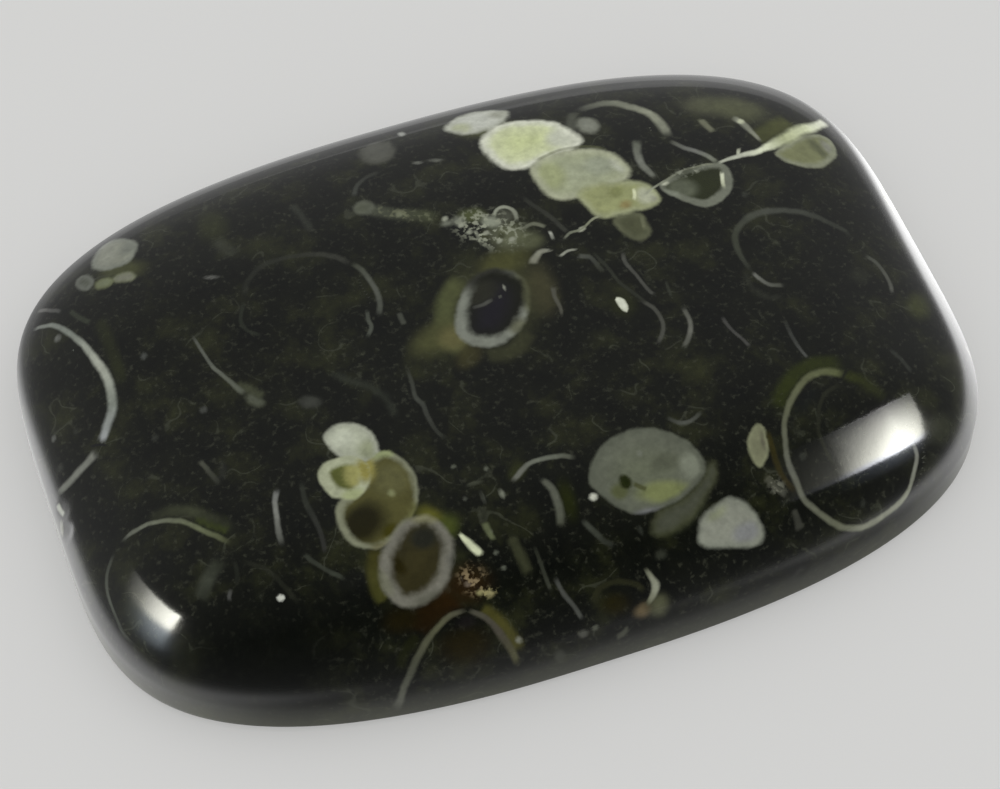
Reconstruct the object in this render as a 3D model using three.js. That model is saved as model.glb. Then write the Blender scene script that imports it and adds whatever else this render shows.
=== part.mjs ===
// A polished cushion-shaped cabochon of fossil-bearing jasper: a flat back, a small bevel,
// a short upright girdle, and a low dome that turns down in a full shoulder all round.
// Millimetres, +Z up. The origin is the middle of the flat back, and +X is the long way.
import * as THREE from "three";
import { mergeVertices } from "three/addons/utils/BufferGeometryUtils.js";

// Driving dimensions of the cut stone.
const LENGTH = 45;
const WIDTH = 32.3;
const HEIGHT = 6.5;
const BACK_BEVEL = 0.4;
const GIRDLE_TOP = 2;

// The outline is a superellipse: the higher the power, the flatter that pair of sides.
const LONG_SIDE_POWER = 2.5;
const END_SIDE_POWER = 4.13;

// The dome's section is a superellipse too. The plan power keeps the top broad and flat,
// and the rise power sets how full the shoulder is.
const DOME_PLAN_POWER = 3.5;
const DOME_RISE_POWER = 1.8;

const OUTLINE_STEPS = 120;
const DOME_STEPS = 20;
const NEWTON_STEPS = 12;

const STONE_COLOUR = 0x20221e;
const STONE_ROUGHNESS = 0.12;

// Distance from the middle to the girdle in the direction of an angle, by Newton's method
// on |x / half length| ^ LONG_SIDE_POWER + |y / half width| ^ END_SIDE_POWER = 1.
function girdleRadius(angle) {
  const along = Math.abs(Math.cos(angle)) / (LENGTH / 2);
  const across = Math.abs(Math.sin(angle)) / (WIDTH / 2);
  let radius = LENGTH / 2;
  for (let step = 0; step < NEWTON_STEPS; step += 1) {
    const alongTerm = (radius * along) ** LONG_SIDE_POWER;
    const acrossTerm = (radius * across) ** END_SIDE_POWER;
    const slope = (LONG_SIDE_POWER * alongTerm + END_SIDE_POWER * acrossTerm) / radius;
    radius -= (alongTerm + acrossTerm - 1) / slope;
  }
  return radius;
}

// The section from the middle of the back, out to the girdle and over the dome to the top.
// Its x is the share of the way to the girdle, and its y is the height.
function section() {
  const points = [
    new THREE.Vector2(0, 0),
    new THREE.Vector2(1 - BACK_BEVEL / (WIDTH / 2), 0),
    new THREE.Vector2(1, BACK_BEVEL),
  ];
  for (let step = 0; step < DOME_STEPS; step += 1) {
    const turn = (Math.PI / 2) * (1 - step / DOME_STEPS);
    const share = Math.sin(turn) ** (2 / DOME_PLAN_POWER);
    const rise = Math.cos(turn) ** (2 / DOME_RISE_POWER);
    points.push(new THREE.Vector2(share, GIRDLE_TOP + (HEIGHT - GIRDLE_TOP) * rise));
  }
  points.push(new THREE.Vector2(0, HEIGHT));
  return points;
}

// The section turned about the upright axis, with each ring then stretched to the outline.
function cabochonGeometry() {
  const turned = new THREE.LatheGeometry(section(), OUTLINE_STEPS).rotateX(Math.PI / 2);
  turned.deleteAttribute("normal");
  turned.deleteAttribute("uv");
  const place = turned.getAttribute("position");
  for (let i = 0; i < place.count; i += 1) {
    const x = place.getX(i);
    const y = place.getY(i);
    const radius = girdleRadius(Math.atan2(y, x));
    place.setXY(i, x * radius, y * radius);
  }
  const stone = mergeVertices(turned);
  stone.computeVertexNormals();
  return stone;
}

const polishedJasper = new THREE.MeshStandardMaterial({
  color: STONE_COLOUR,
  roughness: STONE_ROUGHNESS,
  metalness: 0,
});

const cabochon = new THREE.Mesh(cabochonGeometry(), polishedJasper);
cabochon.name = "cabochon";

const part = new THREE.Group();
part.add(cabochon);

export default part;
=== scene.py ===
import math

import bpy
import numpy as np
from mathutils import Matrix, Vector


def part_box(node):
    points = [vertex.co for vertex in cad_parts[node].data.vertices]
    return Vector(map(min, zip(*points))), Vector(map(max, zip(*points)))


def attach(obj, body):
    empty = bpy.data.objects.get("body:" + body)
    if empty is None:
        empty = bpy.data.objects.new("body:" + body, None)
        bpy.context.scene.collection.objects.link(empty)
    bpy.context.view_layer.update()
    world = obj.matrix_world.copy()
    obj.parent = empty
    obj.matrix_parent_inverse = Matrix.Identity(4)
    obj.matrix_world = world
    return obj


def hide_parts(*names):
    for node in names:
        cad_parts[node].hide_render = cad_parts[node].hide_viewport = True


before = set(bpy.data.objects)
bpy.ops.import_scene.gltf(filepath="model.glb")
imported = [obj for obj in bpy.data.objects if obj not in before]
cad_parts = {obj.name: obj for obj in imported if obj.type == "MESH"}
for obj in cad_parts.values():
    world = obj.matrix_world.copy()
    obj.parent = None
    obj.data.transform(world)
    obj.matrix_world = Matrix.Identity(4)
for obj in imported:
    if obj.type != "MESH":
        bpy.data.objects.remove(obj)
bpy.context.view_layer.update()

# Lengths are in millimetres, and are turned to metres where a mesh, a lamp or the camera is made.
MM = 0.001
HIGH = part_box("cabochon")[1]
HALF_LENGTH = HIGH.x / MM
HALF_WIDTH = HIGH.y / MM
HEIGHT = HIGH.z / MM

# The cut of the stone, as in the CAD solid.
BACK_BEVEL = 0.4
GIRDLE_TOP = 2.0
LONG_SIDE_POWER = 2.5
END_SIDE_POWER = 4.13
DOME_PLAN_POWER = 3.5
DOME_RISE_POWER = 1.8
EDGE_SOFTENING = 0.12

# Cells from the middle of a face to its edge. The back has half as many as the dome.
DOME_CELLS = 124
BACK_CELLS = DOME_CELLS // 2
WALL_ROWS = 13
FINE_STEPS = 4001

# Steps between two points of a curve, and points round an oval.
CURVE_STEPS = 20
OVAL_POINTS = 120

# The shells run outwards as they go down, so that a shell met on the shoulder keeps its shape.
SHELL_SPREAD = 0.03

# A form this far from its edge isn't there, and its sheet is empty.
FAR = 9.0
SHELL_SHEETS = 5
LINE_SHEETS = 6

# How far past a curve's box its offset is worked out, and how far an edge wanders, in mm.
REACH = 1.2
WANDER = 0.03

# The share of its length over which a line fades out at each end.
LINE_FADE = 0.12

# A line has faded out at this many half widths. Its colour ends SEEN cells of the mesh past that,
# and its offset is known for a cell or more beyond.
FADED = 1.5
SEEN = 1.2
KNOWN = 2.7
KNOWN_ROUND_GRAIN = 2.5

# A soft patch gives its colour, but no cover, to points this far out in its oval, so that its
# edge isn't blended with black.
FRINGE = 1.4

# A cover below this counts as none.
NOTHING = 1e-5

# Shells that come this near each other in mm lie in different sheets, and a heart's edge is this
# much softer than its shell's.
TOUCHING = 0.05
HEART_SOFTER = 1.6


def tone(code):
    """Turns an sRGB hex colour into linear red, green and blue."""
    shares = [int(code[i:i + 2], 16) / 255 for i in (1, 3, 5)]
    return tuple(s / 12.92 if s <= 0.04045 else ((s + 0.055) / 1.055) ** 2.4 for s in shares)


def evenly(across, up, count):
    """Points spaced evenly along a line given by many points, its two ends among them."""
    gone = np.concatenate([[0], np.cumsum(np.hypot(np.diff(across), np.diff(up)))])
    wanted = np.linspace(0, gone[-1], count)
    return np.interp(wanted, gone, across), np.interp(wanted, gone, up)


def outline(way_round):
    """The girdle line at shares of the way round it, from +X through +Y: the superellipse
    x = half length times cos to the power 2 / LONG_SIDE_POWER and y the same with sin and
    END_SIDE_POWER, spaced evenly along its length."""
    turn = np.linspace(0, 2 * math.pi, 4 * FINE_STEPS - 3)
    x = HALF_LENGTH * np.sign(np.cos(turn)) * abs(np.cos(turn)) ** (2 / LONG_SIDE_POWER)
    y = HALF_WIDTH * np.sign(np.sin(turn)) * abs(np.sin(turn)) ** (2 / END_SIDE_POWER)
    gone = np.concatenate([[0], np.cumsum(np.hypot(np.diff(x), np.diff(y)))])
    wanted = np.asarray(way_round) * gone[-1]
    return np.stack([np.interp(wanted, gone, x), np.interp(wanted, gone, y)], axis=-1)


def dome_section():
    """The dome from its top to the girdle: sin to the power 2 / DOME_PLAN_POWER is the share of
    the way out, and cos to the power 2 / DOME_RISE_POWER is the share of the rise."""
    turn = np.linspace(0, math.pi / 2, FINE_STEPS)
    reach = (HALF_LENGTH + HALF_WIDTH) / 2
    out = reach * np.sin(turn) ** (2 / DOME_PLAN_POWER)
    height = GIRDLE_TOP + (HEIGHT - GIRDLE_TOP) * np.cos(turn) ** (2 / DOME_RISE_POWER)
    out, height = evenly(out, height, DOME_CELLS + 1)
    return out / reach, height


def wall_section():
    """The girdle and the back bevel, from the dome down to the back. Each corner is softened by
    a curve that leaves the two lines EDGE_SOFTENING from the corner."""
    reach = HALF_WIDTH
    corners = np.array([
        (reach, GIRDLE_TOP),
        (reach, BACK_BEVEL),
        (reach - BACK_BEVEL, 0),
        (reach - 2 * BACK_BEVEL, 0),
    ])
    line = [corners[0]]
    for before, corner, after in zip(corners, corners[1:], corners[2:]):
        start = corner + EDGE_SOFTENING * (before - corner) / np.linalg.norm(before - corner)
        end = corner + EDGE_SOFTENING * (after - corner) / np.linalg.norm(after - corner)
        for share in np.linspace(0, 1, 9):
            line.append(start * (1 - share) ** 2 + 2 * corner * share * (1 - share) + end * share ** 2)
    line.append(corners[3])
    out, height = evenly(*np.array(line).T, WALL_ROWS + 1)
    return out[1:] / reach, height[1:]


def square_rings(cells):
    """A square grid read as rings about its middle: for each point its ring, and its share of
    the way round that ring, from +X through +Y."""
    across = np.arange(-cells, cells + 1)
    right, up = np.meshgrid(across, across)
    ring = np.maximum(abs(right), abs(up))
    way = np.select(
        [(right == ring) & (up > -ring), up == ring, right == -ring],
        [up, 2 * ring - right, 4 * ring - up],
        6 * ring + right,
    )
    return ring.ravel(), (way % np.maximum(8 * ring, 1)).ravel() / np.maximum(8 * ring.ravel(), 1)


def square_faces(cells):
    """The cells of that grid, each with its corners counterclockwise from above."""
    side = 2 * cells + 1
    numbers = np.arange(side * side).reshape(side, side)
    corners = numbers[:-1, :-1], numbers[:-1, 1:], numbers[1:, 1:], numbers[1:, :-1]
    return np.stack([c.ravel() for c in corners], axis=-1)


def stone_points_and_faces():
    """The dome, the wall and the back. A point of the dome is the outline at its way round,
    shrunk by the section's share at its ring, and the wall's rows carry the last ring down."""
    ring, way = square_rings(DOME_CELLS)
    share, height = dome_section()
    dome = np.column_stack([outline(way) * share[ring, None], height[ring]])

    rim = np.flatnonzero(ring == DOME_CELLS)
    rim = rim[np.argsort(way[rim])]
    round_count = len(rim)
    out, wall_height = wall_section()
    rim_line = outline(way[rim])
    wall = np.concatenate([
        np.column_stack([rim_line * out[row], np.full(round_count, wall_height[row])])
        for row in range(WALL_ROWS)
    ])

    back_ring, back_way = square_rings(BACK_CELLS)
    back_out = out[-1] * (1 - BACK_BEVEL / HALF_WIDTH)
    back_share = back_out * back_ring / BACK_CELLS
    back = np.column_stack([outline(back_way) * back_share[:, None], np.zeros(len(back_ring))])

    wall_start = len(dome)
    back_start = wall_start + len(wall)
    rows = np.vstack([rim, wall_start + np.arange(len(wall)).reshape(WALL_ROWS, round_count)])
    beside = np.roll(rows, -1, axis=1)
    wall_faces = np.stack([rows[:-1], rows[1:], beside[1:], beside[:-1]], axis=-1).reshape(-1, 4)

    back_rim = np.flatnonzero(back_ring == BACK_CELLS)
    back_rim = back_start + back_rim[np.argsort(back_way[back_rim])]
    last = rows[-1]
    seam = np.column_stack([
        np.roll(back_rim, -1), np.roll(last[0::2], -1), last[1::2], last[0::2], back_rim,
    ])
    back_faces = back_start + square_faces(BACK_CELLS)[:, ::-1]
    faces = square_faces(DOME_CELLS).tolist() + wall_faces.tolist() + seam.tolist() + back_faces.tolist()
    return np.concatenate([dome, wall, back]), faces, back_start


def waves(places, lengths, seed):
    """Smooth waves over a face, about 1 high: sines of the given wavelengths that each run in
    their own direction."""
    random = np.random.default_rng(seed)
    total = np.zeros(len(places))
    for length in lengths:
        heading, start = random.uniform(0, 2 * math.pi, 2)
        along = places[:, 0] * math.cos(heading) + places[:, 1] * math.sin(heading)
        total += np.sin(2 * math.pi * along / length + start)
    return total / math.sqrt(len(lengths))


def eased(value):
    """0 below 0, 1 above 1, and a smooth rise between."""
    held = np.clip(value, 0, 1)
    return held * held * (3 - 2 * held)


def smooth_through(held):
    """A smooth curve from the second point to the last but one, by the Catmull-Rom rule."""
    share = np.linspace(0, 1, CURVE_STEPS, endpoint=False)[:, None]
    pieces = []
    for a, b, c, d in zip(held, held[1:], held[2:], held[3:]):
        bend = (2 * a - 5 * b + 4 * c - d) * share ** 2 + (3 * b - a - 3 * c + d) * share ** 3
        pieces.append(b + 0.5 * ((c - a) * share + bend))
    return np.concatenate(pieces + [held[-2:-1]])


def opened(points):
    """A smooth curve through the points from the first to the last."""
    points = np.array(points, float)
    before = 2 * points[0] - points[1]
    after = 2 * points[-1] - points[-2]
    return smooth_through(np.concatenate([[before], points, [after]]))


def closed(points):
    """A smooth outline through the points and back to the first."""
    points = np.array(points, float)
    return smooth_through(np.concatenate([points[-1:], points, points[:2]]))


def oval(middle, radii, turn, start=0, end=360):
    """Points along an oval from one angle to another, in degrees from its long way."""
    angle = np.radians(np.linspace(start, end, OVAL_POINTS))
    u, v = radii[0] * np.cos(angle), radii[1] * np.sin(angle)
    lean = math.radians(turn)
    x = middle[0] + u * math.cos(lean) - v * math.sin(lean)
    y = middle[1] + u * math.sin(lean) + v * math.cos(lean)
    return np.column_stack([x, y])


def along(values, share):
    """Values spaced evenly from a curve's start to its end, read at shares of the way."""
    held = np.atleast_2d(np.array(values, float).T).T
    return np.column_stack([np.interp(share, np.linspace(0, 1, len(held)), part) for part in held.T])


def tones(codes):
    """One hex colour or a list of them as rows of linear colour."""
    return [tone(code) for code in ([codes] if isinstance(codes, str) else codes)]


class Slice:
    """A cut face of the rock: where its points lie in it, and what is seen there. Haze and
    druzy are a colour and how thickly it covers. A shell has the distances outside its edge and
    outside its heart, both over its softness. A line has its offset in half widths."""

    def __init__(self, places, spacing):
        count = len(places)
        bend = np.column_stack([
            waves(places, (6.1, 3.7, 2.3, 1.6, 1.1), 11),
            waves(places, (5.3, 4.1, 2.6, 1.4, 0.9), 12),
        ])
        self.places = places + WANDER * bend
        self.spacing = spacing
        self.haze = np.zeros((count, 4))
        self.druzy = np.zeros((count, 4))
        self.shells = [
            {"form": np.tile([FAR, FAR, 0.0], (count, 1)), "heart": np.zeros((count, 4)),
             "wall": np.zeros((count, 4)), "edge": np.full(count, FAR)}
            for sheet in range(SHELL_SHEETS)
        ]
        self.lines = [
            {"form": np.tile([FAR, 0.0, 0.0], (count, 1)), "tint": np.zeros((count, 4)),
             "taken": np.zeros(count, bool)}
            for sheet in range(LINE_SHEETS)
        ]
        self.newest = None
        self.owned = None

    def oval_share(self, middle, radii, turn):
        """How far out each point is in an oval, 1 on its edge."""
        lean = math.radians(turn)
        x = self.places[:, 0] - middle[0]
        y = self.places[:, 1] - middle[1]
        u = (x * math.cos(lean) + y * math.sin(lean)) / radii[0]
        v = (y * math.cos(lean) - x * math.sin(lean)) / radii[1]
        return np.hypot(u, v)

    def beside(self, curve, reach):
        """The points within reach of a curve's box, each with its offset to the left of the curve,
        how far it lies past the nearest place, and that place's share of the way along."""
        inside = (self.places > curve.min(axis=0) - reach) & (self.places < curve.max(axis=0) + reach)
        chosen = np.flatnonzero(inside.all(axis=1))
        heading = np.gradient(curve, axis=0)
        heading /= np.linalg.norm(heading, axis=1)[:, None]
        gaps = self.places[chosen, None, :] - curve[None, :, :]
        nearest = (gaps ** 2).sum(axis=2).argmin(axis=1)
        gap = gaps[np.arange(len(chosen)), nearest]
        way = heading[nearest]
        offset = way[:, 0] * gap[:, 1] - way[:, 1] * gap[:, 0]
        past = way[:, 0] * gap[:, 0] + way[:, 1] * gap[:, 1]
        return chosen, offset, past, nearest / (len(curve) - 1)

    def lay(self, layer, chosen, tint, thick):
        """Lays a colour over what a soft layer holds at the chosen points."""
        held = layer[chosen, 3] * (1 - thick)
        total = thick + held
        mixed = tint * thick[:, None] + layer[chosen, :3] * held[:, None]
        shared = mixed / np.maximum(total, NOTHING)[:, None]
        layer[chosen, :3] = np.where(total[:, None] > NOTHING, shared, tint)
        layer[chosen, 3] = total

    def glow(self, middle, radii, turn, tint, cover):
        """A soft patch of colour that fades out to its oval edge."""
        share = self.oval_share(middle, radii, turn)
        chosen = np.flatnonzero(share < FRINGE)
        self.lay(self.haze, chosen, np.array(tone(tint)), cover * eased(1.25 * (1 - share[chosen])))

    def band(self, points, width, tint, cover):
        """A soft streak of colour that follows a curve and fades at its sides and ends."""
        curve = opened(points)
        chosen, offset, past, share = self.beside(curve, width)
        across = eased(1.3 * (1 - np.hypot(offset, past) / (0.75 * width)))
        ends = eased(np.minimum(share, 1 - share) / 0.15 + 0.15)
        self.lay(self.haze, chosen, along(tones(tint), share), cover * across * ends)

    def grains(self, middle, radii, turn, tint, amount):
        """A patch of tiny quartz crystals in the rock. It is painted as pale spots that are partly their
        own colour and partly painted glitter.
        """
        share = self.oval_share(middle, radii, turn)
        chosen = np.flatnonzero(share < FRINGE)
        self.lay(self.druzy, chosen, np.array(tone(tint)), amount * eased(1.4 * (1 - share[chosen])))

    def stain(self, middle, radii, turn, tint, cover=1.0, part="heart"):
        """A soft patch of colour in the heart or the wall of the shell laid last."""
        share = self.oval_share(middle, radii, turn)
        thick = (cover * eased(1.6 * (1 - share)) * self.owned)[:, None]
        held = self.newest[part]
        held[:, :3] += thick * (np.array(tone(tint)) - held[:, :3])

    def shell(self, curve, heart, wall, thick, uneven=(0, 0), core=None, soft=0.1, cover=(1, 1)):
        """A shell cut across: its heart inside a wall. uneven is how much thicker the wall is
        towards +X and +Y, core the heart's colour at the middle, soft how blurred its edge is in
        mm, and cover how solid heart and wall are."""
        chosen, offset, _, _ = self.beside(curve, REACH)
        if len(chosen) == 0:
            return
        x, y = curve[:-1].T
        turning = np.sum(x * np.roll(y, -1) - y * np.roll(x, -1))
        edge = -offset * np.sign(turning)
        near = chosen[edge < TOUCHING]
        used = [n for n, held in enumerate(self.shells) if (held["edge"][near] < TOUCHING).any()]
        sheet = self.shells[min(max(used, default=-1) + 1, SHELL_SHEETS - 1)]
        closer = edge < sheet["edge"][chosen]
        chosen, edge = chosen[closer], edge[closer]
        middle = curve.mean(axis=0)
        size = (curve.max(axis=0) - curve.min(axis=0)) / 2
        lean = ((self.places[chosen] - middle) / size) @ np.array(uneven)
        depth = thick * np.clip(1 + lean, 0.15, 3)
        ease = eased(1.2 * (1 + edge / max(-edge.min(), 0.1)))[:, None]
        sheet["edge"][chosen] = edge
        sheet["form"][chosen, 0] = edge / soft
        sheet["form"][chosen, 1] = (edge + depth) / (HEART_SOFTER * soft)
        core = np.array(tone(core or heart))
        sheet["heart"][chosen, :3] = core * (1 - ease) + np.array(tone(heart)) * ease
        sheet["heart"][chosen, 3] = cover[0]
        sheet["wall"][chosen, :3] = tone(wall)
        sheet["wall"][chosen, 3] = cover[1]
        self.newest = sheet
        self.owned = np.zeros(len(self.places))
        self.owned[chosen] = 1

    def place_in_line_sheet(self, chosen, form, tint, cover):
        """Puts a line or grain in the first sheet that is free round it, or else in the last."""
        free = [sheet for sheet in self.lines if not sheet["taken"][chosen].any()]
        sheet = (free or self.lines[-1:])[0]
        sheet["form"][chosen, 0] = np.clip(form, -FAR, FAR)
        sheet["tint"][chosen, :3] = tint
        sheet["tint"][chosen, 3] = cover
        sheet["taken"][chosen] = True

    def line(self, points, width, tint, cover=0.9, fade=LINE_FADE):
        """A thin wall cut along its length, or a crack. Its widths, tints and covers may be lists
        along it. It fades out over a share of its length at each end."""
        self.stroke(opened(points), width, tint, cover, fade)

    def ring(self, middle, radii, turn, width, tint, cover, start, end):
        """A thin wall that follows an oval from one angle to another, in degrees."""
        self.stroke(oval(middle, radii, turn, start, end), width, tint, cover, LINE_FADE)

    def stroke(self, curve, width, tint, cover, fade):
        """Lays a line along a curve. Its cover ends inside the zone where its offset is known, so
        the offset never jumps from one side to the other where it can be seen."""
        chosen, offset, past, share = self.beside(curve, REACH)
        half = along(width, share)[:, 0] / 2
        aside = (abs(offset) - FADED * half) / self.spacing
        beyond = abs(past) / self.spacing
        seen = (aside < SEEN) & (beyond < SEEN)
        zone = (aside < KNOWN) & (beyond < KNOWN)
        if not zone.any():
            return
        ends = eased(np.minimum(share, 1 - share) / fade)
        solid = along(cover, share)[:, 0] * ends * seen
        self.place_in_line_sheet(chosen[zone], (offset / half)[zone], along(tones(tint), share)[zone],
                                 solid[zone])

    def fleck(self, middle, radii, turn, tint, cover=1.0):
        """A small round or oval grain, faded out at FADED times its radii."""
        share = self.oval_share(middle, radii, turn)
        aside = (share - FADED) * min(radii) / self.spacing
        chosen = np.flatnonzero(aside < KNOWN_ROUND_GRAIN)
        if len(chosen):
            self.place_in_line_sheet(chosen, share[chosen], np.array(tone(tint)),
                                     cover * (aside[chosen] < SEEN))


def upper_snail(face):
    """The row of pale chambers near the far edge, each lapping over the one before."""
    face.glow((4.0, 12.4), (2.4, 1.2), -20, "#4d512f", 0.8)
    thin_lens = closed([(2.1, 13.5), (2.9, 14.4), (3.9, 14.7), (4.9, 14.3), (5.6, 13.6), (4.8, 12.5),
        (3.6, 12.3), (2.6, 12.6)])
    face.shell(thin_lens, "#c8cbc0", "#b2b5a7", 0.3, soft=0.2)
    face.stain((2.8, 13.1), (0.8, 0.9), 0, "#b9be9f")
    face.stain((5.2, 13.7), (0.9, 0.8), 0, "#a0a293")
    white_chamber = closed([(3.2, 11.1), (3.8, 12.0), (4.8, 12.5), (5.9, 12.3), (7.1, 11.7), (7.7, 10.7),
        (8.1, 9.4), (7.3, 8.9), (6.2, 8.7), (4.7, 8.5), (3.8, 8.8), (3.3, 9.7)])
    face.shell(white_chamber, "#d3dab0", "#dcdfcd", 0.42, core="#cdd6a0", soft=0.2)
    face.stain((7.2, 10.0), (1.1, 1.2), -30, "#c8ccb9")
    face.stain((7.9, 9.4), (0.5, 0.6), 0, "#adb1a0")
    olive_chamber = closed([(4.8, 8.1), (5.5, 8.8), (6.7, 9.0), (8.1, 8.7), (9.1, 8.0), (9.5, 7.0),
        (9.4, 6.3), (8.7, 5.9), (7.6, 5.7), (6.5, 5.7), (5.5, 5.8), (4.9, 6.6)])
    face.shell(olive_chamber, "#a5ab8c", "#aeb297", 0.35, core="#a2a88d", soft=0.18)
    face.stain((5.6, 7.6), (1.1, 1.4), 0, "#a3aa7f")
    face.stain((8.2, 7.4), (1.1, 0.9), -20, "#9da38d")
    face.stain((9.2, 7.0), (0.5, 1.0), 20, "#babead")
    face.line([(5.2, 8.7), (6.6, 9.1), (8.1, 8.9), (9.0, 8.3)], 0.2, "#5c6040", 0.5)
    face.shell(closed([(7.4, 3.6), (8.0, 3.9), (8.9, 3.7), (9.0, 3.1), (8.9, 2.4), (8.2, 2.1),
        (7.7, 2.6)]), "#4f523b", "#5d6049", 0.25, soft=0.13)
    face.line([(8.9, 3.5), (8.8, 3.2), (8.7, 2.7)], 0.2, "#6d7057")
    last_chamber = closed([(6.4, 6.0), (7.4, 6.3), (8.5, 6.1), (9.7, 5.7), (10.2, 4.9), (10.2, 4.2),
        (9.5, 3.9), (8.7, 3.9), (7.6, 3.9), (6.9, 4.1), (6.5, 5.0)])
    face.shell(last_chamber, "#9a9f70", "#a1a682", 0.25, soft=0.16)
    face.stain((9.7, 4.7), (0.9, 0.8), 60, "#b9bda4")
    face.stain((10.0, 4.3), (0.4, 0.4), 0, "#9b9b90")
    face.stain((8.3, 5.4), (0.6, 0.5), 30, "#7e8355", 0.9)
    face.stain((8.4, 4.4), (0.5, 0.4), 60, "#8d8052", 0.9)
    face.line([(9.2, 5.3), (9.1, 4.9), (8.9, 4.6)], 0.2, "#dfe4bd")
    face.line([(8.7, 11.9), (9.7, 12.1), (10.8, 12.0), (11.6, 11.2), (12.2, 10.3), (12.4, 9.2),
        (12.3, 8.1)], [0.5, 0.6, 0.55, 0.5], ["#55574f", "#7b7e6e", "#979a87", "#848777"],
        [0.5, 0.9, 0.95, 0.8])
    face.band([(8.7, 11.9), (8.1, 11.1), (7.8, 10.1)], 0.5, "#5b5e52", 0.6)
    face.shell(oval((8.8, 10.5), (0.6, 0.7), 0), "#85887c", "#707366", 0.15, soft=0.2)
    face.line([(10.7, 8.6), (10.3, 7.5), (10.2, 6.6), (10.5, 5.6)], [0.45, 0.4, 0.3], ["#5d6154",
        "#7c7f75", "#6c6f64"], 0.95)
    face.line([(12.2, 8.0), (12.8, 7.2), (13.5, 6.6), (14.0, 5.7)], 0.3, ["#55584c", "#7a7c77",
        "#858a78"])
    dark_chamber = closed([(10.5, 5.1), (11.1, 5.4), (12.1, 5.7), (13.1, 5.8), (14.1, 5.7), (14.4, 5.1),
        (14.2, 4.2), (13.6, 3.6), (12.6, 3.1), (11.8, 3.3), (11.1, 4.0), (10.7, 4.5)])
    face.shell(dark_chamber, "#282d17", "#74786a", 0.36, uneven=(0.35, -0.45), soft=0.09)
    face.stain((11.5, 4.6), (1.1, 0.9), -20, "#5c6150")
    face.stain((11.0, 4.5), (0.6, 0.5), 0, "#84897a", part="wall")
    face.stain((12.0, 5.8), (1.4, 0.5), 10, "#55594a", part="wall")
    face.line([(14.0, 5.1), (13.8, 4.6), (13.6, 4.1)], 0.22, ["#e6ebd0", "#b5ba9e"], 1.0)
    face.grains((12.3, 5.6), (1.3, 0.4), 8, "#989c8c", 0.8)


def vein(face):
    """The pale quartz vein that cuts the shells and opens out towards the far right edge."""
    face.glow((15.4, 10.2), (1.9, 1.4), -20, "#53553f", 0.8)
    face.glow((17.0, 9.7), (2.6, 1.7), -25, "#56593f", 0.9)
    face.band([(16.8, 7.0), (18.3, 7.7), (19.8, 8.4)], 1.1, "#50542b", 0.8)
    face.line([(17.1, 6.8), (16.9, 7.6), (16.7, 8.4), (16.4, 8.9)], [0.2, 0.45, 0.4], "#8d9080", 0.85)
    face.fleck((16.7, 8.5), (0.2, 0.2), 0, "#c6cbae")
    face.line([(14.6, 9.1), (14.6, 8.6), (14.8, 8.0)], 0.4, "#777964", 0.85)
    side_chamber = closed([(17.5, 5.9), (18.4, 6.4), (19.7, 7.0), (21.2, 7.3), (21.9, 6.9), (21.7, 5.9),
        (20.7, 5.0), (19.5, 4.6), (18.5, 4.8), (17.8, 5.2)])
    face.shell(side_chamber, "#7b7f5b", "#8b8f78", 0.3, uneven=(0.3, -0.3), soft=0.12)
    face.stain((20.5, 6.0), (0.5, 1.2), 20, "#595d43", 0.9)
    face.stain((21.3, 6.2), (0.6, 0.9), 20, "#8c8e7f")
    face.line([(14.0, 5.7), (14.8, 5.9), (15.6, 6.0), (16.5, 6.1), (17.3, 6.4), (18.2, 6.7), (19.3, 7.2),
        (20.4, 7.7), (21.2, 7.9), (22.8, 8.8)], [0.18, 0.3, 0.4, 0.75, 0.75, 0.55], ["#b0b4a2",
        "#c3c7b6", "#e9efd2", "#c0c79c", "#e1e8c2", "#ecefdd"], 1.0, fade=0.03)
    face.line([(15.3, 6.0), (15.4, 6.2), (15.6, 6.5)], 0.2, "#b9bda8")
    face.line([(4.7, 3.4), (5.2, 3.7), (5.8, 3.7), (6.5, 4.1), (7.1, 4.2)], 0.14, ["#74786a", "#7d816d",
        "#9fa387"])
    face.line([(9.2, 4.5), (10.0, 5.0), (10.8, 5.3), (11.9, 5.7), (12.9, 5.8), (14.0, 5.7)], 0.14,
        ["#b9bda6", "#8a8e7c", "#6c6f5e", "#8d917c"])
    for place in ((5.8, 3.7), (10.8, 5.2)):
        face.fleck(place, (0.2, 0.14), 20, "#bcc0ab")


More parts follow.
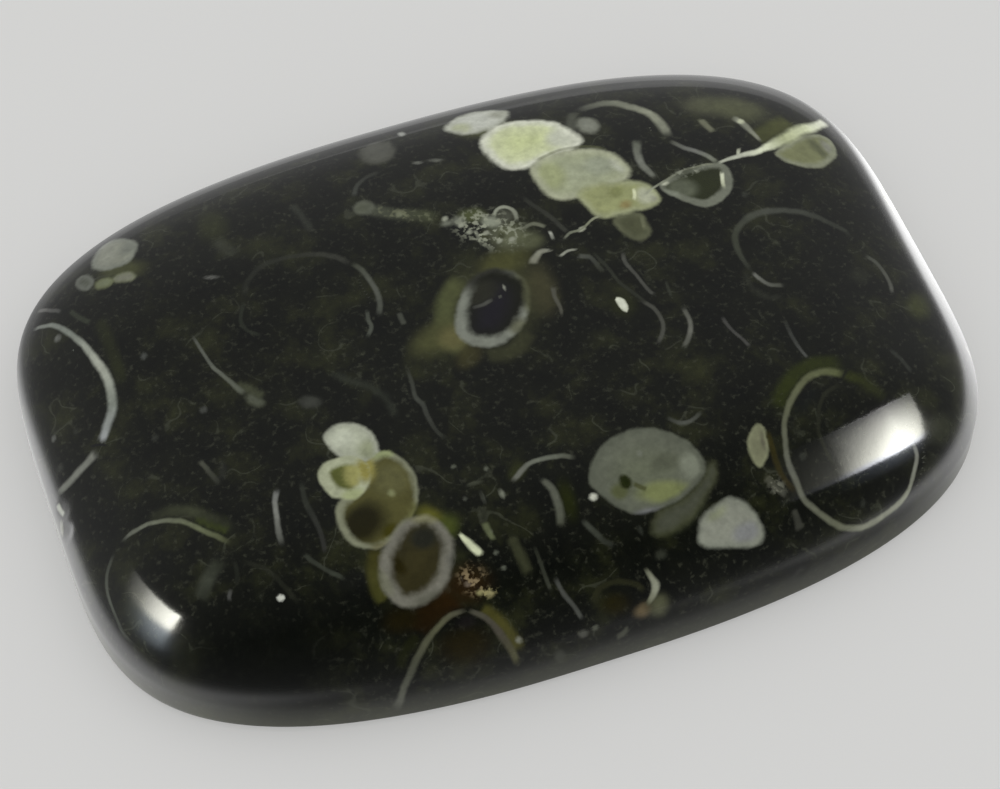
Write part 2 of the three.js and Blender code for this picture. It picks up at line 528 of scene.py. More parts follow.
def eye(face):
    """The dark oval chamber in a grey wall with a yellow-olive stain round it."""
    face.band([(-0.6, 2.9), (-1.7, 2.0), (-2.3, 0.8), (-2.5, -0.3), (-2.0, -1.3)], 1.0, "#525735", 0.95)
    face.glow((0.7, 1.2), (3.5, 2.9), 40, "#43452a", 0.9)
    face.glow((1.7, 3.2), (2.0, 1.2), 10, "#4f5029", 0.8)
    face.glow((2.7, 0.9), (1.1, 2.2), -10, "#42402a", 0.8)
    face.glow((-3.0, -0.1), (2.1, 1.3), 20, "#4d4f2e", 0.9)
    face.glow((-2.3, -0.4), (1.0, 1.1), 0, "#66623d", 0.8)
    face.glow((-1.9, -1.6), (1.2, 0.8), 30, "#4c4826", 0.45)
    face.band([(-1.2, -1.9), (0.2, -2.0), (1.3, -1.2)], 0.9, "#43452c", 0.6)
    chamber = closed([(-2.0, 0.0), (-1.6, 1.1), (-0.9, 2.1), (-0.1, 2.8), (0.9, 2.9), (1.7, 2.4),
        (2.1, 1.6), (1.9, 0.5), (1.4, -0.4), (0.7, -1.1), (-0.2, -1.5), (-1.2, -1.3), (-1.8, -0.8)])
    face.shell(chamber, "#131509", "#7f8378", 0.42, uneven=(-0.45, -0.35), core="#1a1820", soft=0.16)
    face.stain((-0.2, 1.7), (1.3, 0.9), 20, "#27281e", 0.9)
    face.stain((0.4, 2.7), (2.0, 1.4), 0, "#30312a", part="wall")
    face.stain((2.0, 0.9), (0.9, 2.0), 0, "#55573f", part="wall")
    face.stain((1.0, -0.9), (1.0, 0.7), -40, "#6a6c58", part="wall")
    face.line([(-0.9, 1.0), (-0.3, 1.0), (0.2, 1.2)], 0.2, ["#3a3b38", "#5a5b54"])
    # Two painted glints: small bright spots on the polish.
    face.fleck((1.0, 1.6), (0.1, 0.2), 0, "#85877c")
    face.fleck((0.6, 1.2), (0.1, 0.1), 0, "#6b6d62")


def under_snail(face):
    """Thin broken walls and a druzy pocket between the eye and the pale chambers."""
    face.glow((2.3, 4.5), (1.5, 1.2), -40, "#656950", 0.95)
    face.glow((3.2, 3.9), (1.0, 0.8), -20, "#5a5e44", 0.9)
    face.glow((1.1, 6.4), (1.0, 0.7), -20, "#545b37", 0.9)
    face.glow((2.6, 5.8), (0.6, 0.7), 0, "#505246", 0.9)
    face.band([(-3.7, 8.9), (-3.0, 8.3), (-2.2, 7.8), (-1.4, 7.4), (-0.5, 6.8)], 0.7, ["#535749",
        "#40452e"], 0.85)
    for middle, radii, turn, tint in (
        ((1.8, 5.7), (0.5, 0.4), -30, "#989d8b"),
        ((0.4, 6.3), (0.4, 0.3), -50, "#7d8174"),
        ((-0.2, 6.4), (0.3, 0.2), 0, "#85897b"),
        ((-3.7, 8.9), (0.5, 0.5), 0, "#575b4c"),
    ):
        face.shell(oval(middle, radii, turn), tint, "#6c7062", 0.12, soft=0.16, cover=(0.9, 0.7))
    for place in ((2.0, 4.7), (1.2, 4.9)):
        face.fleck(place, (0.2, 0.2), 10, "#383b24", 0.9)
    face.fleck((-2.2, 7.8), (0.2, 0.2), 0, "#747862")
    face.grains((1.6, 5.3), (2.4, 1.6), -40, "#979b88", 0.95)
    for place in ((-0.2, 6.7), (0.4, 6.0), (0.6, 5.4), (1.4, 5.1), (1.8, 4.4), (2.4, 4.3)):
        face.fleck(place, (0.18, 0.14), 30, "#a6aa98", 0.9)
    face.grains((-2.0, 7.7), (2.4, 0.5), -32, "#6d7058", 0.8)
    face.line([(2.0, 5.9), (2.3, 6.3), (2.7, 6.4), (3.0, 6.2), (3.1, 5.8), (3.0, 5.2)], 0.2, ["#949988",
        "#9da190", "#74776a"], 0.95)
    face.line([(3.1, 4.7), (3.7, 4.8), (4.2, 4.4)], 0.22, "#6f7261")
    face.line([(0.9, 5.5), (0.9, 5.0), (0.9, 4.4)], 0.2, ["#8a8d7e", "#4c4f42"])
    # A short thin wall whose bright upper end is a painted glint.
    face.line([(4.3, 4.1), (4.3, 3.6)], 0.18, ["#b3b6aa", "#666960"])
    face.line([(2.8, 2.5), (3.1, 2.9), (3.5, 3.1), (4.0, 3.0)], [0.4, 0.3, 0.15], ["#919281", "#85877a"],
        0.95)
    face.line([(4.2, 2.5), (4.7, 2.7), (5.1, 2.6)], 0.15, "#9a9d8f", 0.95)
    face.line([(5.0, 2.2), (5.5, 2.0), (5.7, 1.5), (5.8, 0.9)], 0.26, ["#585b54", "#303329"], 0.85)
    face.line([(3.3, 0.9), (3.1, 0.3), (3.1, -0.4), (3.0, -0.9)], [0.3, 0.12], "#55554b")
    face.line([(5.8, 2.3), (6.1, 1.2), (6.3, 0.1), (6.7, -0.7), (7.2, -1.7)], 0.2, "#31342b", 0.7)
    face.line([(7.2, 1.8), (7.1, 1.1), (7.3, 0.1), (7.5, -0.8), (7.7, -1.2)], 0.2, "#4e4f49")
    face.line([(6.9, -1.3), (7.3, -1.9), (7.4, -2.7), (7.2, -3.4), (6.7, -4.0)], 0.22, "#4e4f48", 0.85)
    face.line([(8.7, -2.3), (8.7, -3.2), (8.3, -4.0), (7.8, -4.6)], 0.26, ["#55574f", "#6b6c64",
        "#55574f"], 0.95)
    face.line([(8.5, -0.7), (8.4, -1.6)], 0.16, "#34372e", 0.7)
    face.line([(5.6, -7.9), (6.1, -8.4), (6.7, -8.5), (7.4, -8.2)], 0.22, ["#2a2c24", "#5c5f58",
        "#3a3c34"], 0.85)
    face.glow((6.0, -1.3), (1.0, 0.9), 0, "#2a2e12", 0.7)
    # A painted glint: the tiny bright spot where a pit catches the light, laid as a small white shell.
    face.shell(closed([(5.8, -0.8), (6.2, -1.0), (6.2, -1.5), (6.0, -1.7), (5.8, -1.4)]), "#dfe3d2",
        "#cdd1bd", 0.08, soft=0.06)
    face.line([(-4.9, -1.1), (-5.0, -2.1), (-5.1, -2.9), (-4.9, -3.5), (-4.9, -4.2), (-4.8, -5.1),
        (-4.4, -5.8)], 0.22, ["#36382f", "#454841", "#3f413b", "#2a2d24"], 0.85)
    face.line([(-4.2, 2.0), (-4.2, 1.2)], 0.26, "#4a4d44", 0.8)
    face.line([(3.8, 6.8), (4.2, 5.8), (4.6, 5.1), (4.9, 4.2), (5.1, 3.7)], 0.26, ["#2c2e27", "#3c3e36"],
        0.85)


def centre_left(face):
    """Faint walls left of the eye, and the faint ring beyond them."""
    face.glow((-11.2, 11.2), (1.2, 2.0), 0, "#33371c", 0.7)
    face.band([(-11.3, 9.9), (-10.6, 8.4)], 0.6, "#3c3f34", 0.6)
    face.line([(-11.0, 5.4), (-10.5, 6.4), (-9.6, 7.1), (-8.3, 7.2), (-7.0, 6.9), (-6.0, 6.3),
        (-5.4, 5.5)], 0.32, ["#24261f", "#2d2f28", "#3f4039"], 0.75)
    face.line([(-5.4, 5.7), (-5.0, 4.8), (-4.8, 3.7), (-4.9, 2.8), (-5.2, 2.1)], 0.27, ["#43473a",
        "#5b5e56", "#484b42"])
    face.line([(-11.0, 5.4), (-11.5, 4.4), (-11.4, 3.6), (-10.8, 3.0)], 0.2, "#292d24", 0.8)
    face.line([(-5.6, 2.7), (-5.7, 2.0), (-5.7, 1.6), (-6.1, 1.1)], 0.22, "#4f534a", 0.85)
    face.line([(-14.0, 4.5), (-13.8, 3.3), (-13.5, 2.1), (-13.0, 1.0), (-12.6, 0.1)], [0.14, 0.22, 0.34],
        ["#555851", "#63675d", "#5c6053"], 0.95)
    face.shell(oval((-12.3, -0.4), (0.6, 0.3), -58), "#5c6053", "#4c5040", 0.15, soft=0.16,
        cover=(0.9, 0.8))
    face.band([(-12.9, 0.9), (-12.3, 0.3), (-11.8, -0.4)], 0.45, "#464a37", 0.8)
    for middle, radii, turn, tint in (
        ((-12.1, 7.5), (0.4, 0.14), -20, "#5f605c"),
        ((-14.8, 0.1), (0.2, 0.2), 0, "#4c4e4a"),
        ((-14.8, 0.5), (0.1, 0.1), 0, "#3c3e3a"),
        ((-0.2, 11.1), (0.3, 0.14), -20, "#6c6e66"),
        ((0.7, 10.9), (0.4, 0.14), -20, "#62645c"),
        # A painted glint: a small bright spot on the polish.
        ((-0.1, 14.4), (0.2, 0.3), 0, "#a9aca4"),
    ):
        face.fleck(middle, radii, turn, tint, 0.9)
    face.shell(oval((-9.8, -1.5), (0.6, 0.4), -23), "#3f413b", "#33352f", 0.15, soft=0.16,
        cover=(0.9, 0.7))
    face.band([(-8.4, -0.2), (-7.7, -1.0), (-6.9, -1.7), (-6.4, -2.7), (-6.3, -3.8)], 0.36, "#2f332a",
        0.75)
    face.shell(oval((-1.8, 13.1), (1.2, 1.0), 80), "#575850", "#4c4d44", 0.25, soft=0.2,
        cover=(0.95, 0.8))
    face.line([(-3.9, 9.9), (-3.6, 10.6), (-3.0, 11.1), (-2.1, 11.3)], 0.26, ["#454842", "#2c2e27"], 0.85)
    face.band([(-7.1, 10.7), (-6.9, 10.0), (-6.7, 9.1), (-6.6, 8.4)], 0.36, "#34372f", 0.75)


def left_end(face):
    """The lens and row of chambers near the corner, and the great whorl cut off by the end."""
    face.glow((-16.4, 10.5), (2.0, 1.0), -35, "#474a2b", 0.9)
    lens = closed([(-18.1, 12.3), (-17.7, 13.5), (-16.8, 13.9), (-15.7, 12.9), (-15.3, 11.9),
        (-15.9, 10.9), (-16.9, 10.9), (-17.8, 11.5)])
    face.shell(lens, "#8a8d7f", "#81857a", 0.3, soft=0.16)
    face.stain((-17.2, 12.0), (0.9, 1.1), -40, "#8f9285")
    face.stain((-15.8, 12.2), (0.7, 1.0), -40, "#75796f")
    face.shell(oval((-18.7, 11.0), (0.85, 0.5), -68), "#4c5044", "#62655d", 0.3, soft=0.12)
    face.shell(oval((-17.6, 10.1), (0.6, 0.4), -30), "#73795f", "#666b4c", 0.14, soft=0.14)
    face.shell(oval((-16.4, 9.8), (0.7, 0.4), -32), "#7b7c6d", "#6c7058", 0.14, soft=0.14)
    face.band([(-18.4, 8.0), (-18.2, 5.6), (-18.3, 3.4)], 0.7, "#2a2e16", 0.7)
    face.line([(-22.6, 10.2), (-21.3, 9.4), (-20.4, 8.3), (-19.7, 7.0), (-19.3, 5.7), (-19.0, 4.4),
        (-19.0, 3.4), (-19.3, 2.4), (-19.9, 1.5), (-20.5, 0.9)], [0.24, 0.34, 0.5, 0.55, 0.5],
        ["#7c807a", "#80867d", "#b4b8aa", "#878d83", "#a6aaac"], 0.97, fade=0.04)
    face.line([(-20.9, 0.5), (-21.9, 0.2), (-23.1, -0.1), (-24.4, -0.2)], [0.5, 0.4], ["#7e8077",
        "#7f8279"], 0.95)
    face.line([(-24.6, -0.7), (-24.6, -1.1), (-24.4, -1.5)], 0.34, "#babeb2", 0.95)
    face.line([(-24.8, -1.7), (-25.0, -2.0), (-25.2, -2.3)], 0.3, "#85877b", 0.9)
    face.line([(-21.2, 1.0), (-20.6, 0.8), (-20.2, 0.5)], 0.14, "#0e0f14", 0.8)
    face.line([(-22.1, 11.4), (-21.2, 10.6), (-20.4, 9.8)], 0.26, ["#70706d", "#4a4b48"], 0.85)
    face.line([(-19.9, 9.5), (-19.4, 8.6), (-18.9, 7.9)], 0.3, "#353a2e", 0.8)
    for place, size, tint in (
        ((-21.0, 8.2), 0.24, "#6c6e69"),
        ((-16.7, 4.4), 0.2, "#4d504c"),
        ((-23.3, 2.8), 0.2, "#6c6e69"),
        ((-21.7, 2.3), 0.2, "#2c2e27"),
        ((-17.6, -0.3), 0.2, "#33352f"),
        ((-23.5, 1.0), 0.3, "#33352f"),
    ):
        face.fleck(place, (size, size), 0, tint, 0.9)
    face.line([(-15.9, -2.5), (-15.7, -3.0), (-15.5, -3.6), (-15.3, -4.2)], 0.26, ["#55574b", "#2f312a"],
        0.8)
    face.band([(-14.8, -3.0), (-15.2, -4.0)], 0.3, "#2f312b", 0.6)


def lower_left(face):
    """The corner whorl with its olive band, the loose slivers to its right, and a painted glint."""
    face.glow((-17.0, -13.5), (7.5, 4.6), 0, "#0b0d0a", 0.95)
    face.band([(-19.6, -4.5), (-18.4, -4.5), (-17.2, -5.0), (-16.2, -5.9), (-15.4, -6.9)], 0.6,
        ["#24271a", "#3e422f", "#24271a"], 0.9)
    face.band([(-17.2, -5.4), (-16.3, -6.3), (-15.8, -6.8)], 0.4, "#38401a", 0.9)
    face.line([(-21.4, -4.9), (-20.4, -4.7), (-19.4, -4.7), (-18.4, -5.0), (-17.6, -5.5), (-17.0, -6.2),
        (-16.4, -6.8), (-15.8, -7.5)], [0.18, 0.28, 0.3], ["#63665f", "#6f7362", "#6b7155", "#4d5137"],
        0.95)
    face.line([(-21.9, -5.3), (-22.5, -5.8), (-23.0, -6.4), (-23.3, -7.3), (-23.4, -8.3), (-23.4, -9.4),
        (-23.1, -10.3)], 0.2, ["#3c3f37", "#575b52", "#33362f"])
    face.band([(-16.7, -8.0), (-17.7, -8.8), (-18.5, -9.6)], 0.7, ["#33372b", "#43473c", "#2a2d24"], 0.8)
    face.line([(-16.8, -9.7), (-17.0, -9.9), (-17.1, -10.2)], 0.22, "#4a4b48")
    face.line([(-16.1, -8.3), (-16.2, -9.0), (-16.4, -9.6)], 0.22, "#24271f", 0.7)
    face.line([(-15.8, -8.5), (-14.9, -9.2), (-14.4, -10.2), (-14.0, -11.6)], 0.26, "#26281f", 0.7)
    # A painted glint: the tiny bright spot where a pit catches the light, laid as a small white shell.
    face.shell(oval((-14.7, -10.9), (0.23, 0.2), 0), "#d0d3c8", "#bfc2b8", 0.08, soft=0.06)
    face.line([(-12.8, -5.5), (-13.1, -6.0), (-13.3, -6.8), (-13.5, -7.6), (-13.6, -8.5)], 0.28,
        ["#7f817e", "#80827b", "#40423c"], 0.97)
    face.line([(-11.6, -5.4), (-11.8, -6.6), (-11.7, -7.7), (-11.7, -8.6), (-11.9, -9.6)], 0.26,
        ["#2f332a", "#343432"], 0.85)
    face.line([(-12.8, -9.1), (-12.5, -9.8), (-12.0, -10.5), (-11.5, -11.1)], 0.24, "#3a3e35", 0.85)


def lower_snail(face):
    """The second row of chambers, cream walls stained orange and olive, down to the front rim."""
    face.glow((-6.6, -9.4), (1.2, 0.7), -55, "#5d5d21", 0.95)
    face.glow((-6.1, -10.1), (0.8, 1.0), -30, "#47501f", 0.9)
    face.band([(-9.5, -10.0), (-10.0, -11.0), (-10.3, -12.2), (-10.2, -12.8)], 0.75, ["#3c3914",
        "#505125"], 0.95)
    face.band([(-7.0, -13.5), (-7.7, -13.8), (-8.6, -14.1), (-9.5, -14.8)], 1.3, ["#281a08", "#1e1404"],
        0.95)
    face.glow((-6.3, -13.2), (1.8, 1.4), 0, "#281b09", 0.9)
    face.glow((-9.9, -13.9), (1.3, 1.0), 0, "#1e1906", 0.9)
    face.shell(closed([(-9.9, -3.7), (-9.6, -3.3), (-9.0, -3.1), (-8.4, -3.3), (-7.9, -3.7),
        (-7.6, -4.3), (-7.6, -5.0), (-8.0, -5.6), (-9.0, -5.4), (-9.6, -4.8)]), "#b2b7a2", "#a9ad9c",
        0.2, soft=0.12)
    face.stain((-9.1, -3.9), (0.9, 0.8), 0, "#c1c6b2")
    face.stain((-7.9, -5.1), (1.1, 0.9), 0, "#979d80")
    lobes = closed([(-8.4, -5.5), (-7.4, -5.3), (-6.9, -5.8), (-6.6, -6.6), (-6.6, -7.4), (-6.8, -8.2),
        (-7.3, -8.9), (-8.0, -9.5), (-8.6, -9.9), (-9.4, -10.1), (-10.1, -9.9), (-10.6, -9.4),
        (-10.8, -8.6), (-10.7, -7.8), (-10.4, -7.2), (-9.6, -6.9), (-9.0, -6.6), (-8.7, -6.1)])
    face.shell(lobes, "#52502b", "#83866f", 0.3, uneven=(-0.35, 0.25), soft=0.12)
    face.stain((-7.7, -6.9), (1.1, 1.2), 0, "#5d5c39")
    face.stain((-9.7, -8.6), (1.7, 1.3), 30, "#1f1d08")
    face.stain((-8.6, -9.4), (0.6, 0.5), 30, "#3a3700", 0.9)
    face.stain((-8.7, -6.2), (0.6, 0.8), -20, "#918b4a")
    face.stain((-7.5, -5.3), (0.9, 0.6), 0, "#969f73", part="wall")
    face.stain((-8.6, -5.9), (0.8, 0.8), 0, "#918b4a", part="wall")
    face.stain((-7.4, -8.7), (0.7, 0.8), 30, "#696a42", part="wall")
    face.stain((-9.3, -10.1), (0.8, 0.5), 0, "#716f54", part="wall")
    cream_ring = closed([(-10.8, -5.6), (-10.4, -5.0), (-9.8, -4.9), (-9.0, -5.0), (-8.5, -5.6),
        (-8.5, -6.3), (-8.9, -7.0), (-9.5, -7.3), (-10.1, -7.1), (-10.6, -6.7)])
    face.shell(cream_ring, "#575c2c", "#abb093", 0.5, uneven=(-0.15, 0), soft=0.11)
    face.stain((-9.1, -6.1), (0.75, 1.0), 0, "#9f9d61")
    face.stain((-9.6, -7.1), (0.8, 0.5), 0, "#a5ad81", part="wall")
    face.stain((-8.7, -6.0), (0.5, 0.9), 0, "#918b4a", part="wall")
    face.fleck((-7.9, -7.6), (0.2, 0.2), 0, "#7f835d", 0.9)
    brown_ring = closed([(-6.8, -9.2), (-6.3, -9.8), (-6.1, -10.6), (-6.2, -11.4), (-6.7, -12.3),
        (-7.3, -13.0), (-8.1, -13.4), (-9.0, -13.5), (-9.7, -13.1), (-10.0, -12.3), (-9.9, -11.4),
        (-9.6, -10.6), (-8.9, -9.9), (-8.1, -9.3), (-7.5, -9.1)])
    face.shell(brown_ring, "#312e1a", "#76756a", 0.52, uneven=(-0.1, -0.25), core="#37331b", soft=0.18)
    face.stain((-7.3, -10.3), (0.9, 0.8), 0, "#23241c")
    face.stain((-9.0, -11.2), (0.5, 0.9), 20, "#231e00")
    for middle, radii, turn, tint in (
        ((-6.9, -9.3), (1.0, 0.5), -20, "#828164"),
        ((-9.9, -11.8), (0.5, 1.1), 10, "#767765"),
        ((-8.2, -13.4), (1.2, 0.6), 0, "#66665a"),
        ((-6.3, -11.9), (0.5, 0.9), -20, "#696960"),
    ):
        face.stain(middle, radii, turn, tint, part="wall")
    face.band([(-6.1, -14.5), (-5.6, -15.2), (-5.2, -16.3), (-5.0, -17.3)], 0.65, "#4c4a22", 0.95)
    face.band([(-9.4, -14.9), (-10.2, -15.4), (-11.0, -16.3)], 0.5, "#20230c", 0.7)
    face.glow((-7.5, -16.2), (1.9, 1.5), 0, "#211b03", 0.9)
    face.glow((-7.0, -15.0), (0.8, 0.5), 0, "#1b1818", 0.8)
    face.line([(-12.4, -18.1), (-11.6, -17.6), (-10.6, -16.7), (-9.7, -15.8), (-8.8, -15.1),
        (-8.0, -14.6), (-7.3, -14.4), (-6.7, -14.4)], [0.36, 0.32, 0.24], ["#5c5e55", "#4e5042",
        "#5b5c46", "#525145"], 0.95)
    face.line([(-6.7, -14.4), (-6.2, -14.9), (-5.8, -15.6), (-5.6, -16.4), (-5.4, -17.2), (-5.3, -18.0)],
        [0.26, 0.4, 0.38], ["#525145", "#4e4a41", "#565636"])
    # A painted glint: a bright streak of light on the polish, narrow at one end.
    face.line([(-5.7, -10.6), (-5.4, -11.3), (-5.1, -12.0)], [0.2, 0.38, 0.36], "#d8dfbc", 1.0, fade=0.06)
    face.grains((-5.9, -13.1), (0.9, 1.1), 10, "#8a7a5c", 0.95)
    face.grains((-5.5, -13.9), (0.7, 0.4), 0, "#9c9468", 0.95)
    for place in ((-4.7, -7.2), (-3.3, -7.8), (-4.3, -11.0), (-4.4, -12.1), (-4.3, -13.0)):
        face.fleck(place, (0.13, 0.13), 0, "#5c6054", 0.9)
    # Pale crystal grains in the druzy pocket. They are partly their own colour and partly painted
    # glitter.
    for place, tint in (
        ((-5.8, -13.8), "#9a9468"),
        ((-5.4, -14.0), "#a09a70"),
        ((-6.2, -13.2), "#75695a"),
    ):
        face.fleck(place, (0.2, 0.15), 0, tint, 0.9)


def lower_middle(face):
    """The grey lens with a hole, the small white dome, and broken walls by the front rim."""
    for middle, radii, tint in (
        ((-3.1, -9.3), (0.14, 0.26), "#7f8374"),
        ((-4.0, -9.2), (0.1, 0.4), "#45483f"),
        ((-4.8, -9.0), (0.14, 0.14), "#4c4f46"),
        ((-4.1, -8.4), (0.4, 0.1), "#44473a"),
    ):
        face.fleck(middle, radii, 0, tint, 0.9)
    face.line([(-4.4, -10.4), (-4.4, -10.9), (-4.3, -11.5)], [0.4, 0.25], "#656c4e", 0.85)
    face.band([(-3.5, -11.5), (-3.4, -12.6), (-3.3, -13.7)], 0.5, "#434631", 0.8)
    face.glow((-2.0, -8.4), (0.8, 0.6), 40, "#33371a", 0.8)
    face.line([(-2.4, -8.9), (-1.9, -8.5), (-1.3, -8.2), (-0.5, -8.2), (0.2, -8.3), (0.9, -8.6)], 0.26,
        ["#6f7069", "#6f7367", "#5a5d50"], 0.95)
    face.glow((-0.3, -10.6), (0.6, 1.6), -5, "#222705", 0.95)
    face.line([(-1.1, -9.1), (-0.8, -9.8), (-0.8, -10.6), (-0.9, -11.3), (-1.1, -11.9)],
        [0.3, 0.45, 0.36], ["#5f6256", "#5f6256", "#4a4d40"], 0.95)
    face.line([(-2.6, -12.3), (-2.6, -13.3), (-2.6, -14.1), (-2.6, -14.8)], 0.2, ["#2a2d24", "#42453b"],
        0.85)
    face.line([(-2.2, -14.2), (-2.0, -15.2), (-1.7, -16.1), (-1.5, -16.7)], 0.25, "#4c4e49", 0.95)
    face.line([(0.0, -11.8), (0.4, -12.7), (0.7, -13.2), (1.1, -13.6)], 0.3, ["#464a41", "#2a2c26"], 0.85)
    face.glow((3.6, -10.4), (3.3, 2.8), -17, "#23271a", 0.8)
    face.glow((4.6, -13.1), (1.9, 0.9), 20, "#3e432f", 0.95)
    face.shell(closed([(7.1, -11.0), (6.8, -11.9), (5.9, -12.8), (4.9, -13.5), (3.8, -13.8),
        (3.0, -13.5), (3.6, -12.6), (4.8, -12.3), (5.8, -11.8), (6.6, -11.0)]), "#4e5144", "#454832",
        0.2, soft=0.22, cover=(0.9, 0.8))
    grey_lens = closed([(1.1, -9.7), (1.7, -8.8), (2.7, -8.2), (4.0, -8.1), (5.1, -8.5), (6.0, -9.3),
        (6.5, -10.2), (6.5, -11.1), (6.0, -11.7), (5.3, -12.1), (4.4, -12.4), (3.5, -12.5), (2.6, -12.4),
        (1.8, -11.7), (1.3, -10.9), (1.0, -10.3)])
    face.shell(grey_lens, "#64685a", "#5d6154", 0.26, core="#676c59", soft=0.12)
    face.stain((4.7, -10.2), (1.1, 0.7), -10, "#595d4d")
    face.stain((5.9, -10.8), (0.8, 1.0), 0, "#7d8272")
    face.stain((4.2, -11.7), (1.8, 0.8), -14, "#7b8255")
    face.stain((2.2, -11.0), (0.6, 0.6), 0, "#565b3c")
    face.stain((3.2, -12.6), (1.1, 0.5), -10, "#707271", part="wall")
    face.shell(oval((2.6, -10.6), (0.3, 0.4), 10), "#182000", "#2c3112", 0.1, soft=0.12)
    face.line([(2.9, -10.8), (3.2, -11.1), (3.4, -11.3)], 0.26, "#494c2c", 0.85)
    face.fleck((3.7, -9.4), (0.14, 0.2), 0, "#73776a", 0.9)
    dome = closed([(5.3, -14.1), (5.7, -13.4), (6.5, -13.1), (7.2, -13.0), (7.9, -13.4), (8.3, -14.2),
        (8.5, -15.1), (8.3, -15.6), (7.7, -15.7), (6.6, -15.4), (5.6, -15.1), (5.2, -14.7)])
    face.shell(dome, "#8d9083", "#85897c", 0.2, soft=0.17)
    face.stain((6.3, -13.4), (0.9, 0.6), 20, "#8a8f76")
    face.stain((7.6, -14.9), (1.0, 0.7), 0, "#858786")
    # A painted glint: a small bright spot on the polish.
    face.fleck((0.9, -10.9), (0.2, 0.2), 0, "#c8cbbb")
    face.shell(oval((3.1, -14.7), (0.3, 0.3), 0), "#3a3d33", "#2c2f26", 0.1, soft=0.16, cover=(0.9, 0.7))
    face.glow((0.3, -16.5), (1.2, 0.8), -20, "#211d00", 0.9)
    face.ring((0.6, -16.3), (1.3, 0.9), -20, 0.34, "#2b2c1b", 0.8, start=20, end=200)
    face.glow((1.6, -17.2), (0.7, 0.5), 0, "#6a5d42", 0.95)
    face.glow((2.5, -17.2), (0.8, 0.8), 0, "#585a41", 0.95)
    face.line([(2.2, -15.1), (2.4, -15.7), (2.5, -16.2), (2.2, -16.7), (1.8, -17.0)], [0.2, 0.4, 0.2],
        ["#696c5a", "#9a9d8a", "#5c5e46"], 0.97)
    for middle, radii, tint in (
        ((-1.6, -17.4), (0.25, 0.2), "#54554d"),
        ((-1.0, -17.3), (0.2, 0.15), "#5c5f52"),
        ((-4.9, -16.7), (0.2, 0.2), "#7d7f72"),
        ((-3.1, -18.1), (0.3, 0.3), "#3a3c33"),
        ((2.5, -13.2), (0.14, 0.26), "#2f322b"),
    ):
        face.fleck(middle, radii, 0, tint, 0.9)
    face.line([(0.0, -18.1), (0.4, -18.0), (0.7, -17.8)], 0.3, "#4c4e42", 0.8)


def right_end(face):
    """The big whorl under the right highlight, and the faint one above it."""
    face.band([(10.9, -9.3), (11.8, -8.1), (13.4, -7.4), (15.2, -7.7)], 0.8, "#2d340c", 0.9)
    face.band([(15.0, -8.3), (15.7, -8.8), (16.2, -9.4), (16.8, -10.2)], 0.6, ["#33390f", "#262a16"],
        0.85)
    face.glow((12.4, -9.2), (1.6, 0.6), 35, "#0f1312", 0.7)
    face.line([(14.7, -8.8), (13.7, -9.0), (13.0, -9.7), (12.6, -10.9), (12.7, -12.0), (13.0, -13.1)],
        0.22, "#26281d", 0.8)
    face.line([(15.0, -8.3), (14.3, -8.0), (13.5, -7.9), (12.5, -8.3), (11.7, -9.0), (11.1, -9.9),
        (10.8, -10.9), (10.6, -11.9), (10.7, -12.9), (10.9, -14.0), (11.5, -14.9), (12.3, -15.7),
        (13.2, -16.2), (14.3, -16.4), (15.4, -16.2), (16.4, -15.8), (17.2, -15.2), (17.6, -14.4),
        (17.9, -13.5), (17.7, -12.6)], [0.46, 0.3, 0.32, 0.34, 0.26], ["#5f6540", "#64674f", "#64665c",
        "#6b6e5a", "#8d907d", "#7e7f78"], 0.97, fade=0.03)
    face.line([(10.1, -10.1), (10.0, -11.0), (10.0, -12.0), (10.2, -12.9), (10.6, -13.7)], 0.3,
        ["#363210", "#2d2712"], 0.85)
    face.shell(closed([(8.9, -10.6), (9.2, -10.0), (9.7, -9.7), (10.0, -10.0), (9.9, -10.7),
        (9.7, -11.4), (9.2, -11.9), (8.9, -11.5)]), "#7a7c62", "#888b6e", 0.14, soft=0.11)
    face.stain((9.8, -10.8), (0.4, 0.9), 0, "#5c5a4b")
    face.line([(9.3, -12.4), (9.6, -13.1), (10.1, -13.7)], 0.36, ["#57584a", "#4f5047"], 0.8)
    face.line([(10.3, -14.5), (10.4, -15.0), (10.5, -15.6)], [0.3, 0.5], "#44453d", 0.75)
    face.grains((9.7, -13.1), (0.5, 1.0), 25, "#77786a", 0.8)
    face.line([(12.8, -1.6), (12.7, -0.8), (12.7, 0.1), (12.9, 1.0), (13.5, 1.6), (14.3, 2.0),
        (15.2, 2.1), (16.2, 2.0), (17.1, 1.7), (17.8, 1.3), (18.5, 0.7), (19.1, 0.1), (19.2, -0.6)],
        [0.24, 0.42, 0.34], ["#343730", "#43473a", "#4d5048", "#3c3f37", "#2a2d25"], 0.85)
    face.line([(12.8, -1.4), (13.0, -1.9), (13.3, -2.3), (14.1, -2.6)], 0.24, ["#757770", "#4c4e45"],
        0.95)
    face.band([(12.4, -1.1), (12.4, -2.2), (12.9, -3.0), (13.7, -3.2)], 0.3, "#2a2c24", 0.7)
    face.line([(19.5, -1.5), (20.0, -2.1), (20.2, -2.8), (20.2, -3.6), (20.0, -4.2)], 0.28, ["#4c4f46",
        "#575851"])
    face.line([(10.3, -3.4), (10.4, -4.2), (10.7, -4.9), (10.9, -5.6)], 0.2, "#484845")
    face.line([(13.2, -4.4), (13.2, -5.4), (13.3, -6.3), (13.5, -7.0)], 0.2, ["#23251f", "#525451"])
    face.line([(18.1, -7.5), (18.6, -8.3), (18.9, -9.0)], 0.26, "#30332d", 0.8)
    face.glow((21.5, -5.1), (1.6, 1.1), 40, "#3c4020", 0.85)
    face.glow((18.5, -2.8), (0.9, 0.8), 0, "#2a2d22", 0.6)
    for place in ((11.4, -12.0), (14.3, -15.2), (14.5, 3.4)):
        face.fleck(place, (0.2, 0.2), 0, "#33362f", 0.8)
    face.glow((19.8, -12.4), (1.6, 1.2), 0, "#3a3d2c", 0.7)


